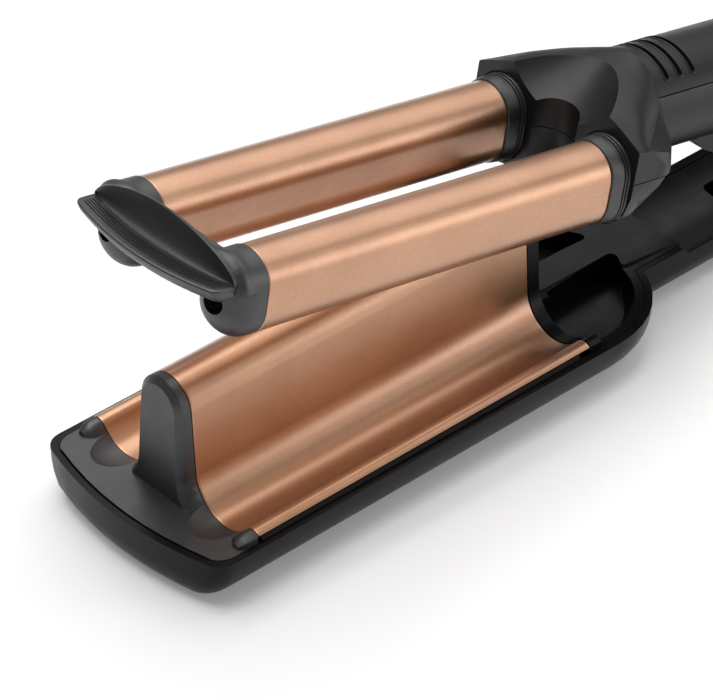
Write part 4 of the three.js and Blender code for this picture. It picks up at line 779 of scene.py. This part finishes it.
# The beads round the handle's vents
VENT = Sizes(first=158.4, pitch=5.2, count=3, width=1.9, half_angle=42.0, side_steps=26, end_steps=8)
BEAD = Sizes(radius=0.3, outside=0.1, height_share=0.6, steps=10)
HANDLE_AXIS = 4.3
HANDLE_RADIUS = 15.5


def handle_point(along, angle, rise):
    """A point over the round handle, at an angle from its top."""
    radius = HANDLE_RADIUS + rise
    return arm_point(along, radius * math.sin(angle), HANDLE_AXIS + radius * math.cos(angle))


def vent_path(middle):
    """The line round a vent's mouth, as places along the handle and angles round it."""
    half = VENT.width / 2 + BEAD.outside
    swing = math.radians(VENT.half_angle)
    cap = half / HANDLE_RADIUS
    angles = spaced(-swing, swing, VENT.side_steps)
    turns = spaced(0, math.pi, VENT.end_steps)[1:-1]
    path = [(middle - half, angle) for angle in angles]
    path += [(middle - half * math.cos(turn), swing + cap * math.sin(turn)) for turn in turns]
    path += [(middle + half, -angle) for angle in angles]
    path += [(middle + half * math.cos(turn), -swing - cap * math.sin(turn)) for turn in turns]
    return path


def bead_ring(here, before, after):
    """The bead's section at a point of its path, square to the way from before to after."""
    along, angle = here
    step = (after[0] - before[0], (after[1] - before[1]) * HANDLE_RADIUS)
    length = math.hypot(*step)
    side = (-step[1] / length, step[0] / length)
    ring = []
    for turn in spaced(0, 2 * math.pi, BEAD.steps)[:-1]:
        out = BEAD.radius * math.cos(turn)
        rise = BEAD.radius * math.sin(turn) * BEAD.height_share
        ring.append(handle_point(along + side[0] * out, angle + side[1] * out / HANDLE_RADIUS, rise))
    return ring


def make_vent_rims():
    """A raised bead round the mouth of each vent, bent over the handle."""
    for index in range(VENT.count):
        path = vent_path(VENT.first + index * VENT.pitch)
        rings = [bead_ring(here, path[i - 1], path[(i + 1) % len(path)]) for i, here in enumerate(path)]
        mesh = ring_mesh(f"vent_rim_{index + 1}", rings)
        add_piece(f"vent_rim_{index + 1}", mesh, "black_shell", "upper_arm")


# Studio: a white floor and soft lights, sized in metres
FLOOR_HALF = 3.0
FLOOR_WHITE = (0.82, 0.82, 0.82, 1)
FLOOR_GLOW = 0.16
WHITE = (1, 1, 1, 1)
WORLD_LEVEL = 0.28
# Each light's name, place, aim, width and depth, and power in watts
LIGHTS = (
    ("overhead", (-0.15, 0.25, 1.35), (0, 0, 0), (1.4, 1.0), 16.0),
    ("ridge_glow", (1.05, 0.22, 1.19), (0, 0, 0.04), (1.75, 0.85), 7.2),
    ("between_glows", (0.92, -1.0, 0.86), (0, 0, 0.05), (0.8, 0.5), 1.0),
    ("low_strip", (1.09, -1.15, 0.28), (0, 0, 0.05), (0.9, 0.56), 4.1),
    ("far_card", (0.42, 1.0, 0.95), (-0.1, 0, 0.02), (0.5, 0.5), 1.0),
)


def make_floor():
    """A white floor that glows a little where the camera or a glossy surface sees it."""
    corners = [(x * FLOOR_HALF, y * FLOOR_HALF, 0) for x, y in ((-1, -1), (1, -1), (1, 1), (-1, 1))]
    mesh = bpy.data.meshes.new("floor")
    mesh.from_pydata(corners, [], [(0, 1, 2, 3)])
    floor = new_object("floor", mesh)
    finish = Finish("floor")
    finish.tree.nodes.remove(finish.shader)
    diffuse = finish.add("ShaderNodeBsdfDiffuse")
    diffuse.inputs["Color"].default_value = FLOOR_WHITE
    glow = finish.add("ShaderNodeEmission")
    glow.inputs["Color"].default_value = WHITE
    seen = finish.add("ShaderNodeLightPath")
    either = finish.add("ShaderNodeMath", operation="MAXIMUM")
    finish.link(seen.outputs["Is Camera Ray"], either.inputs[0])
    finish.link(seen.outputs["Is Glossy Ray"], either.inputs[1])
    level = finish.add("ShaderNodeMath", operation="MULTIPLY")
    level.inputs[1].default_value = FLOOR_GLOW
    finish.link(either.outputs[0], level.inputs[0])
    finish.link(level.outputs[0], glow.inputs["Strength"])
    both = finish.add("ShaderNodeAddShader")
    finish.link(diffuse.outputs[0], both.inputs[0])
    finish.link(glow.outputs[0], both.inputs[1])
    finish.link(both.outputs[0], finish.output.inputs["Surface"])
    mesh.materials.append(finish.material)


def soft_light(name, at, aim, size, power):
    data = bpy.data.lights.new(name, "AREA")
    data.shape = "RECTANGLE"
    data.size, data.size_y = size
    data.energy = power
    light = new_object(name, data)
    light.location = at
    light.rotation_euler = (Vector(aim) - Vector(at)).to_track_quat("-Z", "Y").to_euler()


def make_light():
    for light in LIGHTS:
        soft_light(*light)
    world = bpy.data.worlds.new("studio")
    bpy.context.scene.world = world
    world.use_nodes = True
    tree = world.node_tree
    tree.nodes.clear()
    back = tree.nodes.new("ShaderNodeBackground")
    back.inputs["Color"].default_value = WHITE
    back.inputs["Strength"].default_value = WORLD_LEVEL
    out = tree.nodes.new("ShaderNodeOutputWorld")
    tree.links.new(back.outputs[0], out.inputs["Surface"])
    bpy.context.scene.view_settings.view_transform = "Standard"


# The solids that only need their edges rounded, by slot
SLOTS = {
    "black_shell": ("lower_housing", "handle_cover", "fork_bottom", "handle_top", "handle_bottom",
                    "hinge_cap_near", "hinge_cap_far"),
    "satin_trim": ("lock_slider", "power_button", "minus_button", "plus_button"),
    "steel": ("tip_screw_near", "tip_screw_far", "screw_nose", "screw_basin", "screw_grip_front",
              "screw_grip_rear", "hinge_pin", "opening_spring"),
    "alloy": ("barrel_core_near", "barrel_core_far", "thermostat"),
    "ceramic": ("plate_heater_near", "plate_heater_far", "barrel_heater_near", "barrel_heater_far"),
    "liner_resin": ("plate_liner", "hinge_bush_near", "hinge_bush_far"),
    "board": ("control_board",),
    "light_window": ("light_window_1", "light_window_2", "light_window_3"),
    "gland_rubber": ("cord_gland",),
}

make_camera()
finishes = make_finishes()
for slot, nodes in SLOTS.items():
    for node in nodes:
        dress(node, slot)
for side, label in SIDES:
    make_barrel(side, label)
for side, label in SIDES:
    make_collar(side, label)
make_plate()
make_front_insert()
make_rear_insert()
make_fork_top()
for side, label in SIDES:
    make_cap(side, label)
    make_saddle(side, label)
make_thumb_rest()
make_vent_rims()
make_floor()
make_light()
